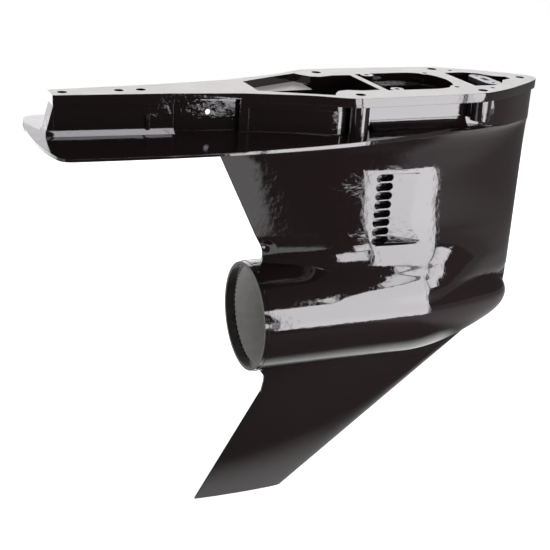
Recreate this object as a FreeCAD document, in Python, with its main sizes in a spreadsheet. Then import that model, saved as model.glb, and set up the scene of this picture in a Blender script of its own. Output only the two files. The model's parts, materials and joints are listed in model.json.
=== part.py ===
import FreeCAD, Part
import math
import os
import re
import Sketcher
from FreeCAD import Placement, Rotation, Vector

# Outboard lower unit: painted gearcase with its shafts, bevel gears, dog clutch and shift linkage.
# Frame: origin on the deck face, midway between the four deck bolts; +X bow, +Y port, +Z up.
# Millimetres throughout. Gear train parts are drawn about the point where the two shaft axes meet.

document = FreeCAD.newDocument("outboard_lower_unit")
sheet = document.addObject("Spreadsheet::Sheet", "dims")
sheet.Label = "dims"

# Driving dimensions: alias, value, what it is
SIZES = [
    ("shaft_drop", 265, "deck face down to the propeller shaft axis"),
    ("drive_x", 16.5, "drive shaft axis ahead of the deck bolt centre"),
    ("shift_x", 113, "shift shaft axis ahead of the deck bolt centre"),
    ("run_gap", 0.3, "gap between pieces that turn past each other"),
    ("fit_gap", 0.05, "gap round a piece that is pushed into a bore"),
    # deck and walls
    ("bolt_span_x", 150, "deck bolts, fore and aft spacing"),
    ("bolt_span_y", 112, "deck bolts, port to starboard spacing"),
    ("bolt_hole_r", 5.5, "deck bolt hole radius"),
    ("bolt_boss_r", 11, "column round each deck bolt"),
    ("front_boss_depth", 33, "lower end of the two front bolt columns"),
    ("flange_thick", 10, "deck flange"),
    ("plate_depth", 41, "deck face down to the top of the anti-ventilation plate"),
    ("plate_thick", 6, "anti-ventilation plate"),
    ("wall_sink", 4.5, "how far the walls and columns run on into the plate"),
    ("bow_hole_x", 160.5, "bolt hole at the bow end of the deck"),
    ("bow_hole_r", 5, "its radius"),
    ("tail_hole_x", -377.6, "bolt hole at the tail of the riser"),
    ("tail_hole_r", 5, "its radius"),
    ("mid_hole_x", -320, "after hole of the centreline pair"),
    ("mid_hole_gap", 23, "spacing of the centreline pair"),
    ("mid_hole_r", 5, "radius of the centreline pair"),
    ("blind_depth", 30, "depth of the blind deck holes"),
    ("pump_span_x", 75, "water pump screws, fore and aft spacing"),
    ("pump_span_y", 72, "water pump screws, port to starboard spacing"),
    ("pump_hole_r", 2.8, "water pump screw hole"),
    ("pump_boss_r", 7.5, "boss round each water pump screw"),
    ("rail_hole_x", 94, "small gauge hole beside the front opening"),
    ("rail_hole_y", 46, "its place off the centreline"),
    ("rail_hole_r", 2.5, "its radius"),
    # torpedo
    ("rim_x", -170, "after rim of the torpedo"),
    ("torpedo_r", 63.5, "torpedo radius"),
    ("nose_start_x", 20, "where the nose begins to taper"),
    ("nose_len", 156, "length of the tapered nose"),
    ("nose_full_share", 0.25, "share of the nose length held at the full radius"),
    ("nose_low_share", 0.75, "place of the third pole of the nose profile, as a share of its length"),
    ("nose_low_r_share", 0.6, "radius at that pole, as a share of the torpedo radius"),
    ("nose_tip_r_share", 0.3, "bluntness of the nose tip, as a share of the torpedo radius"),
    ("collar_len", 5, "narrow collar at the rim"),
    ("collar_drop", 0.8, "how far the collar stands below the torpedo skin"),
    ("mouth_r", 59, "painted counterbore"),
    ("mouth_depth", 11, "depth of the painted counterbore"),
    ("bore_r", 56.5, "machined bore for the bearing carrier"),
    ("bore_end_x", -66, "forward end of the machined bore"),
    ("chamber_r", 54.5, "gear chamber"),
    ("cup_seat_r", 38, "seat of the forward bearing cup"),
    ("cup_seat_front", 37, "after end of the cup seat, ahead of the drive axis"),
    ("cup_seat_len", 22, "length of the cup seat"),
    ("nose_bore_r", 26, "shift chamber in the nose"),
    ("nose_bore_len", 56, "length of the shift chamber"),
    # bores up the strut
    ("pinion_bore_r", 30, "bore over the pinion"),
    ("pinion_bore_top", 66, "its top above the propeller shaft axis"),
    ("needle_seat_r", 17.5, "seat of the pinion needle bearing"),
    ("needle_seat_top", 94, "top of that seat above the propeller shaft axis"),
    ("shaft_tube_r", 14.5, "clear bore round the drive shaft"),
    ("upper_seat_r", 27, "seat of the upper bearing"),
    ("upper_seat_depth", 98, "deck face down to the upper bearing seat"),
    ("pump_well_depth", 70, "deck face down to the floor of the pump well"),
    ("pump_well_half", 31, "half width of the pump well below its step"),
    ("pump_step_depth", 12, "depth of the wide part of the pump well"),
    # water inlets
    ("slot_count", 8, "water inlet slots on each side"),
    ("slot_pitch", 10.5, "spacing of the slots"),
    ("slot_high", 7.6, "height of one slot"),
    ("slot_top", 97.5, "deck face down to the top of the first slot"),
    ("slot_back_x", -33, "round after ends of the slots"),
    ("slot_front_x", -15, "forward ends of the slots"),
    ("ramp_front_x", 31, "where the sunk ramp runs out"),
    ("ramp_sink", 31.5, "half width across the foot of the ramps"),
    ("ramp_rise", 38, "half width across the front of the ramps"),
    ("water_half", 27, "half width of the water passage"),
    ("water_back_x", -36, "after wall of the water passage"),
    ("water_front_x", -17, "forward wall of the water passage"),
    # gears
    ("gear_module", 3.5, "tooth module at the heel"),
    ("pinion_teeth", 14, "teeth on the pinion"),
    ("gear_teeth", 28, "teeth on each driven gear"),
    ("face_share", 0.68, "toe of the teeth as a share of the cone distance"),
    ("pressure_angle", 20, "tooth pressure angle, degrees"),
    ("backlash", 0.5, "tooth thinning, per flank pair"),
    ("jaw_count", 8, "clutch jaws on each face"),
    ("jaw_angle", 19, "angle that one jaw spans, degrees"),
    ("jaw_in_r", 16.4, "inside radius of the jaws"),
    ("clutch_r", 23, "outside radius of the clutch dog"),
    ("jaw_tip", 14, "tips of the gear jaws, from the drive axis"),
    ("jaw_high", 5, "height of every jaw"),
    ("clutch_half", 12, "half length of the clutch dog over its jaws"),
    ("clutch_travel", 5.6, "slide of the clutch from neutral to either gear"),
    # shafts
    ("prop_r", 13.8, "propeller shaft radius between the gears"),
    ("prop_journal_r", 16, "propeller shaft radius in the carrier"),
    ("prop_end_r", 12, "splined after end of the propeller shaft"),
    ("prop_back", 154.5, "after end of the propeller shaft, behind the drive axis"),
    ("prop_front", 66, "forward end of the propeller shaft"),
    ("rod_r", 5, "shift rod inside the propeller shaft"),
    ("drive_r", 11, "drive shaft radius"),
    ("drive_top", 14, "deck face down to the top of the drive shaft"),
    ("shift_r", 6, "shift shaft radius"),
    ("shift_top", 12, "deck face down to the top of the shift shaft"),
    ("crank_throw", 12, "offset of the crank pin from the shift shaft axis"),
    ("crank_pin_r", 2.5, "crank pin radius"),
    ("spool_r", 14, "flanges of the shift spool"),
    ("spool_core_r", 6.5, "core of the shift spool"),
    # smaller features of the casting
    ("skeg_edge", 1.2, "half thickness of the skeg's trailing edge"),
    ("panel_top", 6, "deck face down to the top of the sunk side panels"),
    ("panel_beyond", 80, "how far out the panel cuts reach"),
    ("aft_well_depth", 34, "depth of the after deck opening before it narrows"),
    ("aft_shelf_depth", 9, "deck face down to the shelves beside the after opening"),
    ("slope_tail_y", 8.5, "where the plate's top begins to slope, off the centreline at its tail"),
    ("slope_bow_y", 58, "the same at the front deck bolts"),
    ("slope_reach", 100, "width over which the slope is measured"),
    ("edge_drop", 4.2, "drop of the plate's top over that width"),
    ("tail_foot_x", -398, "after end of the riser where it meets the plate"),
    ("tail_foot_half", 10.5, "half width of the riser there"),
    ("tail_slope_end", -425, "where the slope of the plate's after edge is measured"),
    ("tail_drop", 7.2, "drop of the plate's after edge there"),
    ("foot_top_depth", 36, "deck face down to the top of the riser's foot fillet"),
    ("rib_x", -295, "upright rib on the riser"),
    ("rib_wide", 4, "width of the rib"),
    ("rib_half", 20.2, "half width of the riser over the rib"),
    ("rib_top", 22, "deck face down to the top of the rib"),
    ("passage_x", -231, "passage plug in the riser's starboard side"),
    ("passage_depth", 21, "deck face down to the passage plug"),
    ("passage_r", 3.5, "passage plug radius"),
    ("passage_end_y", 11.6, "bottom of its hole, off the centreline"),
    ("passage_face_y", 18.9, "outer face of the passage plug, off the centreline"),
    ("exhaust_top_front", -46, "exhaust way at the well, forward wall"),
    ("exhaust_top_back", -150, "exhaust way at the well, after wall"),
    ("exhaust_top_front_half", 30, "exhaust way at the well, half width forward"),
    ("exhaust_top_back_half", 14, "exhaust way at the well, half width aft"),
    ("exhaust_foot_front", -72, "exhaust way at the bore, forward wall"),
    ("exhaust_foot_back", -90, "exhaust way at the bore, after wall"),
    ("exhaust_foot_front_half", 18, "exhaust way at the bore, half width forward"),
    ("exhaust_foot_back_half", 14, "exhaust way at the bore, half width aft"),
    ("pump_floor_back", -36, "after wall of the pump well"),
    ("pump_floor_front", 46, "forward wall of the pump well, before its corners"),
    ("retainer_depth", 6, "deck face down to the seat of the shift retainer"),
    ("retainer_half", 16, "half length of the retainer's straight sides"),
    ("retainer_boss_r", 10, "half width of the boss under the retainer"),
    ("retainer_screw_y", 18, "retainer screws, off the centreline"),
    ("small_screw_r", 2.5, "thread radius of the small screws"),
    ("front_well_depth", 34, "depth of the front deck opening"),
    ("bush_r", 8.5, "bore for the shift shaft bushing"),
    ("bush_len", 16, "depth of that bore"),
    ("shift_tube_r", 7.5, "clear bore round the shift shaft"),
    ("plug_face_r", 10, "flat face round each oil plug"),
    ("plug_thread_r", 5, "oil plug thread radius"),
    ("plug_hole_depth", 9, "depth of the oil plug holes"),
    ("drain_x", 92, "oil drain plug, forward of the deck bolt centre"),
    ("drain_face_y", 47.5, "flat face of the drain plug, off the centreline"),
    ("vent_x", 62, "oil vent plug, forward of the deck bolt centre"),
    ("vent_depth", 118, "oil vent plug below the deck face"),
    ("vent_face_y", 29, "flat face of the vent plug, off the centreline"),
    # bevel gears and clutch
    ("gear_bore_r", 15.2, "bore of the forward gear, over its needles"),
    ("reverse_bore_gap", 0.6, "gap between the reverse gear and the propeller shaft"),
    ("gear_hub_r", 22, "hub of both driven gears under their bearings"),
    ("gear_hub_step", 2, "shoulder on the hub, against the bearing"),
    ("pinion_hub_r", 18, "hub of the pinion"),
    ("pinion_hub_end", 62, "top of the pinion hub above the propeller shaft axis"),
    ("pinion_seat_r", 9.5, "drive shaft radius inside the pinion"),
    ("thread_r", 8, "threaded foot of the drive shaft"),
    ("nut_foot", 25.5, "foot of the pinion nut above the propeller shaft axis"),
    ("nut_flat", 12, "pinion nut, centre to flat"),
    ("spline_count", 6, "splines that the clutch slides on"),
    ("spline_r", 15.6, "top of those splines"),
    ("spline_wide", 4, "width of one spline"),
    ("slide_gap", 0.3, "gap round the sliding clutch parts"),
    ("cross_pin_r", 3, "cross pin through the clutch"),
    ("ring_groove", 1.5, "depth of the spring groove round the clutch"),
    ("ring_wire_r", 0.9, "wire radius of the retaining spring"),
    # propeller shaft ends
    ("front_journal_r", 12, "propeller shaft radius inside the forward gear"),
    ("front_journal_start", 22, "start of that journal"),
    ("rod_bore_end", 12, "after end of the bore in the propeller shaft"),
    ("prop_spline_core_r", 11, "core under the propeller splines"),
    ("prop_spline_count", 13, "propeller splines"),
    ("prop_spline_wide", 2.4, "width of one propeller spline"),
    ("prop_spline_len", 14, "length of the propeller splines"),
    ("pilot_len", 10.5, "plain after end of the propeller shaft"),
    # bearings
    ("bearing_tilt", 8, "tilt of the tapered rollers, degrees"),
    ("roller_r", 3.2, "tapered roller radius"),
    ("roller_len", 13, "tapered roller length"),
    ("roller_gap", 0.15, "gap between rollers and rings"),
    ("inner_ring_thick", 5.1, "inner ring at mid length"),
    ("front_roller_count", 18, "rollers in the forward bearing"),
    ("upper_roller_count", 13, "rollers in the upper bearing"),
    ("upper_bearing_len", 20, "length of the upper bearing"),
    ("needle_r", 1.6, "needle radius"),
    ("needle_count", 12, "needles in each needle bearing"),
    ("needle_len", 16, "needle length"),
    ("front_needle_r", 1.5, "needle radius inside the forward gear"),
    ("ball_r", 4.8, "ball radius"),
    ("ball_ring_r", 32, "circle through the ball centres"),
    ("ball_count", 9, "balls in the reverse gear bearing"),
    ("ball_bearing_start", 46, "ball bearing, from the drive axis"),
    ("ball_bearing_len", 16, "ball bearing width"),
    ("ball_ring_thick", 6.6, "ring thickness at the shoulders"),
    # bearing carrier, from the drive axis aft
    ("carrier_start", 45, "forward end of the carrier"),
    ("carrier_land", 7.5, "length of the carrier's forward flange"),
    ("carrier_tube_r", 34, "carrier between its flanges"),
    ("carrier_tube_len", 16, "open length between the flanges"),
    ("carrier_flange", 8.5, "thickness of the after flange"),
    ("carrier_hub_r", 26, "carrier hub inside the ring nut"),
    ("carrier_end", 126, "after end of the carrier hub"),
    ("carrier_bore_r", 19, "bore for the needle bearing and seals"),
    ("window_r", 8, "exhaust window"),
    ("window_ring_r", 41, "circle through the exhaust windows"),
    ("window_count", 6, "exhaust windows"),
    ("o_ring_r", 1.3, "O-ring section radius"),
    ("tab_thick", 1.5, "tab washer"),
    ("seal_len", 5, "length of one shaft seal"),
    ("seal_gap", 0.25, "gap between a seal and its shaft"),
    # drive shaft fittings, above the propeller shaft axis
    ("shoulder_r", 13.4, "drive shaft shoulder under the upper bearing"),
    ("shoulder_len", 7, "length of that shoulder"),
    ("drive_spline_count", 12, "splines at the top of the drive shaft"),
    ("drive_spline_wide", 2.6, "width of one drive shaft spline"),
    ("drive_spline_len", 24, "length of those splines"),
    ("drive_core_r", 10, "core under those splines"),
    ("drive_pilot_r", 9.3, "plain top of the drive shaft"),
    ("drive_pilot_len", 12, "its length"),
    ("upper_nut_in_r", 19, "inside of the upper bearing nut"),
    # shift parts
    ("crank_thick", 5, "crank plate"),
    ("crank_hub_r", 9, "crank hub"),
    ("crank_end_r", 4.5, "crank end round the pin"),
    ("crank_gap", 0.5, "gap between the crank and the spool"),
    ("pin_gap", 0.35, "gap each side of the crank pin in the spool"),
    ("pin_reach", 12.2, "how far the crank pin reaches down into the spool"),
    ("flange_wide", 3, "thickness of one spool flange"),
    ("retainer_thick", 5, "shift shaft retainer"),
    ("slot_half", 4, "half length of the retainer's slot"),
    ("slot_r", 3.2, "half width of the retainer's slot"),
    ("screw_head_r", 4.6, "countersunk head"),
    ("screw_len", 15, "small screw length"),
    ("shift_seal_len", 4, "shift shaft seal"),
    # oil plugs
    ("plug_head_r", 8, "oil plug head"),
    ("plug_head_len", 4, "oil plug head height"),
    ("washer_thick", 1.5, "oil plug washer"),
]

# Half outlines seen from above, bow to stern on the port side: x, y of each corner or spline pole
OUTLINES = {
    "deck_bow": [(180, 0), (180, 9), (160, 24), (128, 44), (100, 60), (74, 68.5)],
    "deck_side": [(74, 68.5), (40, 71.5), (-30, 73.5), (-76, 73.5)],
    "deck_neck": [(-76, 73.5), (-98, 73.5), (-112, 57), (-138, 49)],
    "deck_tail": [(-138, 49), (-196, 32), (-272, 21.5), (-384, 13), (-390, 12), (-390, 0)],
    "wall_bow": [(176.5, 0), (176.5, 8), (156, 22), (126, 39), (100, 47), (66, 44)],
    "wall_side": [(66, 44), (-55, 44), (-82, 47), (-98, 61), (-112, 58), (-138, 46.5), (-196, 30.5),
                  (-272, 20), (-386, 11.5), (-389, 11), (-389, 0)],
    "plate_side": [(177, 0), (177, 12), (120, 38), (20, 62), (-60, 84), (-170, 95), (-280, 95), (-386, 87)],
    "plate_back": [(-386, 87), (-397, 86), (-402, 76), (-407, 50), (-409.5, 24), (-409.5, 0)],
    "foot_top": [(-262, 0), (-262, 21.5), (-272, 20.7), (-386, 12), (-397, 11), (-397, 0)],
    "foot_low": [(-262, 0), (-262, 28), (-272, 27), (-386, 18), (-397.9, 15), (-397.9, 0)],
    "aft_well": [(-42, 0), (-42, 37), (-63, 38), (-80, 33), (-91, 36), (-99, 46), (-103, 54), (-141, 38.5),
                 (-177, 22), (-177, 0)],
    "aft_deep": [(-42, 0), (-42, 37), (-63, 38), (-80, 33), (-91, 36), (-98, 42), (-99, 12), (-165, 10),
                 (-165, 0)],
    "front_well": [(79, 0), (79, 34), (104, 34), (119, 26), (130, 11), (144, 5), (144, 0)],
    "pump_back": [(-34, 0), (-34, 41), (20, 42)],
    "pump_bow": [(20, 42), (50, 42), (60, 26), (62, 0)],
    "aft_panel": [(-200, 21), (-268, 13.5)],
    "side_panel": [(-96, 58.5), (-103, 59), (-112, 55.5), (-138, 44.5), (-190, 30)],
}

# Strut sections from the plate down into the torpedo: depth, leading edge, trailing edge, then the
# half widths at the nose, forward of the drive axis, at it, behind it and near the trailing edge
SECTIONS = [
    (44, 177, -222, 10, 38, 60, 62, 44, 8),
    (50, 176.6, -219.5, 9, 31, 50, 51, 37, 5.5),
    (60, 176.3, -214.7, 8.5, 27, 41.5, 42.5, 32, 4),
    (78, 176, -206, 8, 25, 36.5, 37.5, 29, 3),
    (120, 176, -185.5, 8, 25, 36, 36.5, 28, 3),
    (168, 176, -162, 8, 25, 37, 37.5, 28, 3),
    (188, 176, -152.5, 8, 25, 40, 40.5, 29, 3),
    (200, 176, -153, 8, 25, 44, 44.5, 32, 4),
    (212, 176, -158, 8, 25, 50, 50.5, 38, 6),
    (224, 176, -158, 8, 24, 55, 56, 44, 10),
    (250, 176, -158, 7, 22, 58, 59, 48, 14),
    (262, 174.5, -158, 5, 20, 57, 58, 46, 13),
]

# Skeg sections: depth, leading edge, trailing edge, half thickness
SKEG = [
    (288, 163.2, -158, 9),
    (331, 106.5, -151, 8.5),
    (346, 86.7, -140.5, 8.2),
    (362, 65.5, -143.5, 7.9),
    (496, -111.3, -222, 3.2),
]


def add_size(row, alias, value, note):
    sheet.set("A%d" % row, note)
    sheet.set("B%d" % row, repr(float(value)))
    sheet.setAlias("B%d" % row, alias)


def fill_sheet():
    rows = list(SIZES)
    rows += [("sec_nose_back", 46, "first pole of a strut section, behind its leading edge"),
             ("sec_fore_ahead", 50, "second pole, ahead of the drive axis"),
             ("sec_mid_back", 22, "third pole, behind the drive axis"),
             ("sec_aft_back", 95, "fourth pole, behind the drive axis"),
             ("sec_tail_ahead", 30, "last free pole, ahead of the trailing edge")]
    for name, points in OUTLINES.items():
        for i, (x, y) in enumerate(points):
            rows.append(("%s_px%d" % (name, i), x, "outline %s, x" % name))
            rows.append(("%s_py%d" % (name, i), y, "outline %s, y" % name))
    keys = ("down", "lead", "trail", "nose", "fore", "mid", "aft", "tail", "edge")
    for i, values in enumerate(SECTIONS):
        for key, value in zip(keys, values):
            rows.append(("strut_%s_n%d" % (key, i), value, "strut section %s" % key))
    for i, values in enumerate(SKEG):
        for key, value in zip(("down", "lead", "trail", "half"), values):
            rows.append(("skeg_%s_n%d" % (key, i), value, "skeg section %s" % key))
    for number, (alias, value, note) in enumerate(rows, start=1):
        add_size(number, alias, value, note)
    document.recompute()
    return {alias for alias, value, note in rows}


aliases = fill_sheet()
WORD = re.compile(r"[A-Za-z_][A-Za-z_0-9]*")


def bound(expression):
    """The same expression with every alias read from the sheet."""
    return WORD.sub(lambda m: "dims." + m.group(0) if m.group(0) in aliases else m.group(0), expression)


def value(expression):
    """The number that an expression on the sheet's aliases gives now."""
    return float(sheet.evalExpression(expression))


def outline(name):
    return [("%s_px%d" % (name, i), "%s_py%d" % (name, i)) for i in range(len(OUTLINES[name]))]


# Sketch and feature helpers

def new_body(name):
    body = document.addObject("PartDesign::Body", name)
    body.Label = name
    body.AllowCompound = True
    return body


def origin_feature(body, role):
    return next(f for f in body.Origin.OriginFeatures if f.Role == role)


def new_sketch(body, name, plane="XY_Plane", shift=("0", "0", "0"), turn=None, about=(0, 1, 0)):
    """A sketch on one of the body's own planes, shifted and turned about one of its axes."""
    sketch = body.newObject("Sketcher::SketchObject", name)
    sketch.AttachmentSupport = [(origin_feature(body, plane), "")]
    sketch.MapMode = "FlatFace"
    if turn is not None:
        sketch.AttachmentOffset = Placement(Vector(0, 0, 0), Rotation(Vector(*about), value(turn)))
        sketch.setExpression("AttachmentOffset.Rotation.Angle", bound("(%s) * 1 deg" % turn))
    for axis, expression in zip("xyz", shift):
        sketch.setExpression("AttachmentOffset.Base." + axis, bound("(%s) * 1 mm" % expression))
    return sketch


def pin_point(sketch, geometry, vertex, x, y):
    for kind, expression in (("DistanceX", x), ("DistanceY", y)):
        i = sketch.addConstraint(Sketcher.Constraint(kind, -1, 1, geometry, vertex, value(expression)))
        sketch.setExpression("Constraints[%d]" % i, bound(expression))


def place(point):
    return Vector(value(point[0]), value(point[1]), 0)


def add_line(sketch, start, end):
    i = sketch.addGeometry(Part.LineSegment(place(start), place(end)), False)
    pin_point(sketch, i, 1, *start)
    pin_point(sketch, i, 2, *end)


def add_spline(sketch, poles):
    """A cubic spline whose poles are held by the sheet, clamped at both ends."""
    curve = Part.BSplineCurve()
    inner = len(poles) - 4
    curve.buildFromPolesMultsKnots([place(p) for p in poles], [4] + [1] * inner + [4],
                                   list(range(inner + 2)), False, 3)
    i = sketch.addGeometry(curve, False)
    first_pole = sketch.GeometryCount
    sketch.exposeInternalGeometry(i)
    for j, pole in enumerate(poles):
        pin_point(sketch, first_pole + j, 3, *pole)


def add_chain(sketch, kind, points):
    if kind == "spline":
        add_spline(sketch, points)
    else:
        for start, end in zip(points, points[1:]):
            add_line(sketch, start, end)


def add_loop(sketch, points):
    add_chain(sketch, "line", list(points) + [points[0]])


def add_mirrored(sketch, chains):
    """Half an outline and its mirror image across the sketch's x axis."""
    for kind, points in chains:
        add_chain(sketch, kind, points)
        add_chain(sketch, kind, [(x, "-(%s)" % y) for x, y in points])


def add_circle(sketch, x, y, radius):
    i = sketch.addGeometry(Part.Circle(place((x, y)), Vector(0, 0, 1), value(radius)), False)
    pin_point(sketch, i, 3, x, y)
    c = sketch.addConstraint(Sketcher.Constraint("Radius", i, value(radius)))
    sketch.setExpression("Constraints[%d]" % c, bound(radius))


def add_end(sketch, centre, radius, start, level, kind):
    """A half circle closing an oblong; level holds both of its ends, in x or in y."""
    circle = Part.Circle(place(centre), Vector(0, 0, 1), value(radius))
    i = sketch.addGeometry(Part.ArcOfCircle(circle, start, start + math.pi), False)
    pin_point(sketch, i, 3, *centre)
    pairs = [(Sketcher.Constraint("Radius", i, value(radius)), radius)]
    pairs += [(Sketcher.Constraint(kind, -1, 1, i, vertex, value(level)), level) for vertex in (1, 2)]
    for constraint, expression in pairs:
        c = sketch.addConstraint(constraint)
        sketch.setExpression("Constraints[%d]" % c, bound(expression))


def add_oblong(sketch, x, y, half_length, radius):
    """An oblong hole or boss, long along the sketch's y axis, centred on x, y."""
    top, low = "%s + %s" % (y, half_length), "%s - (%s)" % (y, half_length)
    for side in ("%s + %s" % (x, radius), "%s - (%s)" % (x, radius)):
        add_line(sketch, (side, low), (side, top))
    add_end(sketch, (x, top), radius, 0, top, "DistanceY")
    add_end(sketch, (x, low), radius, math.pi, low, "DistanceY")


def extrude(body, name, kind, sketch, length, both_ways=False, backwards=False):
    feature = body.newObject("PartDesign::" + kind, name)
    feature.Profile = sketch
    feature.setExpression("Length", bound("(%s) * 1 mm" % length))
    if both_ways:
        feature.SideType = "Symmetric"
    feature.Reversed = backwards
    sketch.Visibility = False
    return feature


def revolve(body, name, kind, sketch, axis="V_Axis"):
    feature = body.newObject("PartDesign::" + kind, name)
    feature.Profile = sketch
    feature.ReferenceAxis = (sketch, [axis])
    feature.Angle = 360
    return feature


def loft(body, name, kind, sketches, ruled):
    feature = body.newObject("PartDesign::" + kind, name)
    feature.Profile = sketches[0]
    feature.Sections = sketches[1:]
    feature.Ruled = ruled
    return feature


def pattern_round(body, name, originals, count):
    pattern = body.newObject("PartDesign::PolarPattern", name)
    pattern.Originals = originals
    pattern.Axis = (origin_feature(body, "Z_Axis"), [""])
    pattern.Angle = 360
    pattern.setExpression("Occurrences", bound(count))
    body.Tip = pattern
    return pattern


def turned(name, points, chains=None):
    """A body turned about its own z axis from a half profile of radius and height."""
    body = new_body(name)
    sketch = new_sketch(body, name + "_profile", "XZ_Plane")
    if chains:
        for kind, run in chains:
            add_chain(sketch, kind, run)
    else:
        add_loop(sketch, points)
    revolve(body, name + "_turned", "Revolution", sketch)
    return body


UPRIGHT = Rotation()
TO_BOW = Rotation(Vector(0, 1, 0), 90)
TO_STERN = Rotation(Vector(0, 1, 0), -90)
TO_PORT = Rotation(Vector(1, 0, 0), -90)


def seat(body, x, z, y="0", turn=UPRIGHT):
    """Put a body's origin in the unit and turn its own z axis to its real direction."""
    body.Placement = Placement(Vector(value(x), value(y), value(z)), turn)
    for axis, expression in zip("xyz", (x, y, z)):
        body.setExpression("Placement.Base." + axis, bound("(%s) * 1 mm" % expression))
    return body


def on_prop_axis(body, turn=TO_BOW):
    return seat(body, "drive_x", "-shaft_drop", turn=turn)


def on_drive_axis(body, turn=UPRIGHT):
    return seat(body, "drive_x", "-shaft_drop", turn=turn)


def on_shift_axis(body):
    return seat(body, "shift_x", "-shaft_drop")


# Gearcase casting

def foil_section(body, i):
    """One strut section: a spline along each side and a flat trailing edge."""
    def size(key):
        return "strut_%s_n%d" % (key, i)
    sketch = new_sketch(body, "strut_section_%d" % i, shift=("0", "0", "-" + size("down")))
    side = [(size("lead"), "0"), (size("lead"), size("nose")),
            (size("lead") + " - sec_nose_back", size("fore")),
            ("drive_x + sec_fore_ahead", size("mid")),
            ("drive_x - sec_mid_back", size("aft")),
            ("drive_x - sec_aft_back", size("tail")),
            (size("trail") + " + sec_tail_ahead", size("edge") + " * 2.4"),
            (size("trail"), size("edge"))]
    add_mirrored(sketch, [("spline", side)])
    add_line(sketch, (size("trail"), size("edge")), (size("trail"), "-" + size("edge")))
    return sketch


def skeg_section(body, i):
    """One skeg section: a thin lens between its leading and trailing edges."""
    lead, trail, half = ("skeg_%s_n%d" % (key, i) for key in ("lead", "trail", "half"))
    sketch = new_sketch(body, "skeg_section_%d" % i, shift=("0", "0", "-skeg_down_n%d" % i))
    chord = "(%s - (%s))" % (lead, trail)
    side = [(lead, "0"), (lead, half + " * 0.5"), ("%s - 0.15 * %s" % (lead, chord), half + " * 1.15"),
            ("%s + 0.3 * %s" % (trail, chord), half + " * 1.15"), (trail, "skeg_edge")]
    add_mirrored(sketch, [("spline", side)])
    add_line(sketch, (trail, "skeg_edge"), (trail, "-skeg_edge"))
    return sketch


def casting_skin(body):
    torpedo = new_sketch(body, "torpedo_profile", "XZ_Plane", ("0", "-shaft_drop", "0"))
    collar_r, collar_end = "torpedo_r - collar_drop", "rim_x + collar_len"
    tip = "nose_start_x + nose_len"
    add_chain(torpedo, "line", [(tip, "0"), ("rim_x", "0"), ("rim_x", collar_r), (collar_end, collar_r),
                                (collar_end, "torpedo_r"), ("nose_start_x", "torpedo_r")])
    add_spline(torpedo, [("nose_start_x", "torpedo_r"),
                         ("nose_start_x + nose_full_share * nose_len", "torpedo_r"),
                         ("nose_start_x + nose_low_share * nose_len", "nose_low_r_share * torpedo_r"),
                         (tip, "nose_tip_r_share * torpedo_r"), (tip, "0")])
    revolve(body, "torpedo", "Revolution", torpedo, "H_Axis")
    loft(body, "strut", "AdditiveLoft", [foil_section(body, i) for i in range(len(SECTIONS))], False)
    loft(body, "skeg", "AdditiveLoft", [skeg_section(body, i) for i in range(len(SKEG))], True)


def deck_sketch(body, name, depth, chains):
    sketch = new_sketch(body, name, shift=("0", "0", "-(%s)" % depth))
    add_mirrored(sketch, chains)
    return sketch


def casting_deck(body):
    plate = deck_sketch(body, "plate_outline", "plate_depth + plate_thick",
                        [("spline", outline("plate_side")), ("spline", outline("plate_back"))])
    extrude(body, "plate", "Pad", plate, "plate_thick")
    slope_plate(body)
    walls = deck_sketch(body, "wall_outline", "plate_depth + wall_sink",
                        [("spline", outline("wall_bow")), ("line", outline("wall_side"))])
    extrude(body, "walls", "Pad", walls, "plate_depth + wall_sink")
    riser_foot(body)
    flange = deck_sketch(body, "flange_outline", "flange_thick",
                         [("spline", outline("deck_bow")), ("spline", outline("deck_side")),
                          ("spline", outline("deck_neck")), ("line", outline("deck_tail"))])
    extrude(body, "flange", "Pad", flange, "flange_thick")
    for end, sign, depth in (("front", "", "front_boss_depth"), ("rear", "-", "plate_depth + wall_sink")):
        sketch = new_sketch(body, end + "_bolt_columns", shift=("0", "0", "-(%s)" % depth))
        for side in ("", "-"):
            add_circle(sketch, sign + "bolt_span_x / 2", side + "bolt_span_y / 2", "bolt_boss_r")
        extrude(body, end + "_columns", "Pad", sketch, depth + " - flange_thick / 2")
        webs = new_sketch(body, end + "_column_webs", shift=("0", "0", "-(%s)" % depth))
        middle, half = sign + "bolt_span_x / 2", "bolt_boss_r * 0.6"
        low, high = "%s - %s" % (middle, half), "%s + %s" % (middle, half)
        for side in ("", "-"):
            inner, outer = side + "(bolt_span_y / 2 - 2 * bolt_boss_r)", side + "(bolt_span_y / 2)"
            add_loop(webs, [(low, inner), (high, inner), (high, outer), (low, outer)])
        extrude(body, end + "_webs", "Pad", webs, depth + " - flange_thick / 2")


def slope_plate(body):
    """Slope the plate's top: down from the riser out to both sides, and down to the after edge."""
    top = "-(plate_depth - 0.1)"
    for end, side in (("port", ""), ("starboard", "-")):
        cuts = []
        for station, x, inner in (("tail", "tail_slope_end", "slope_tail_y"), ("bow", "bolt_span_x / 2", "slope_bow_y")):
            sketch = new_sketch(body, "plate_slope_%s_%s" % (end, station), "YZ_Plane", ("0", "0", x))
            near, far = side + inner, "%s(%s + slope_reach)" % (side, inner)
            add_loop(sketch, [(near, top), (far, top), (far, "-(plate_depth + edge_drop)")])
            cuts.append(sketch)
        loft(body, "plate_slope_" + end, "SubtractiveLoft", cuts, True)
    tail = new_sketch(body, "plate_tail_outline", "XZ_Plane")
    add_loop(tail, [("tail_foot_x", "-plate_depth"), ("tail_foot_x", top), ("tail_slope_end", top),
                    ("tail_slope_end", "-(plate_depth + tail_drop)")])
    extrude(body, "plate_tail_slope", "Pocket", tail, "2 * slope_reach", both_ways=True)


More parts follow.
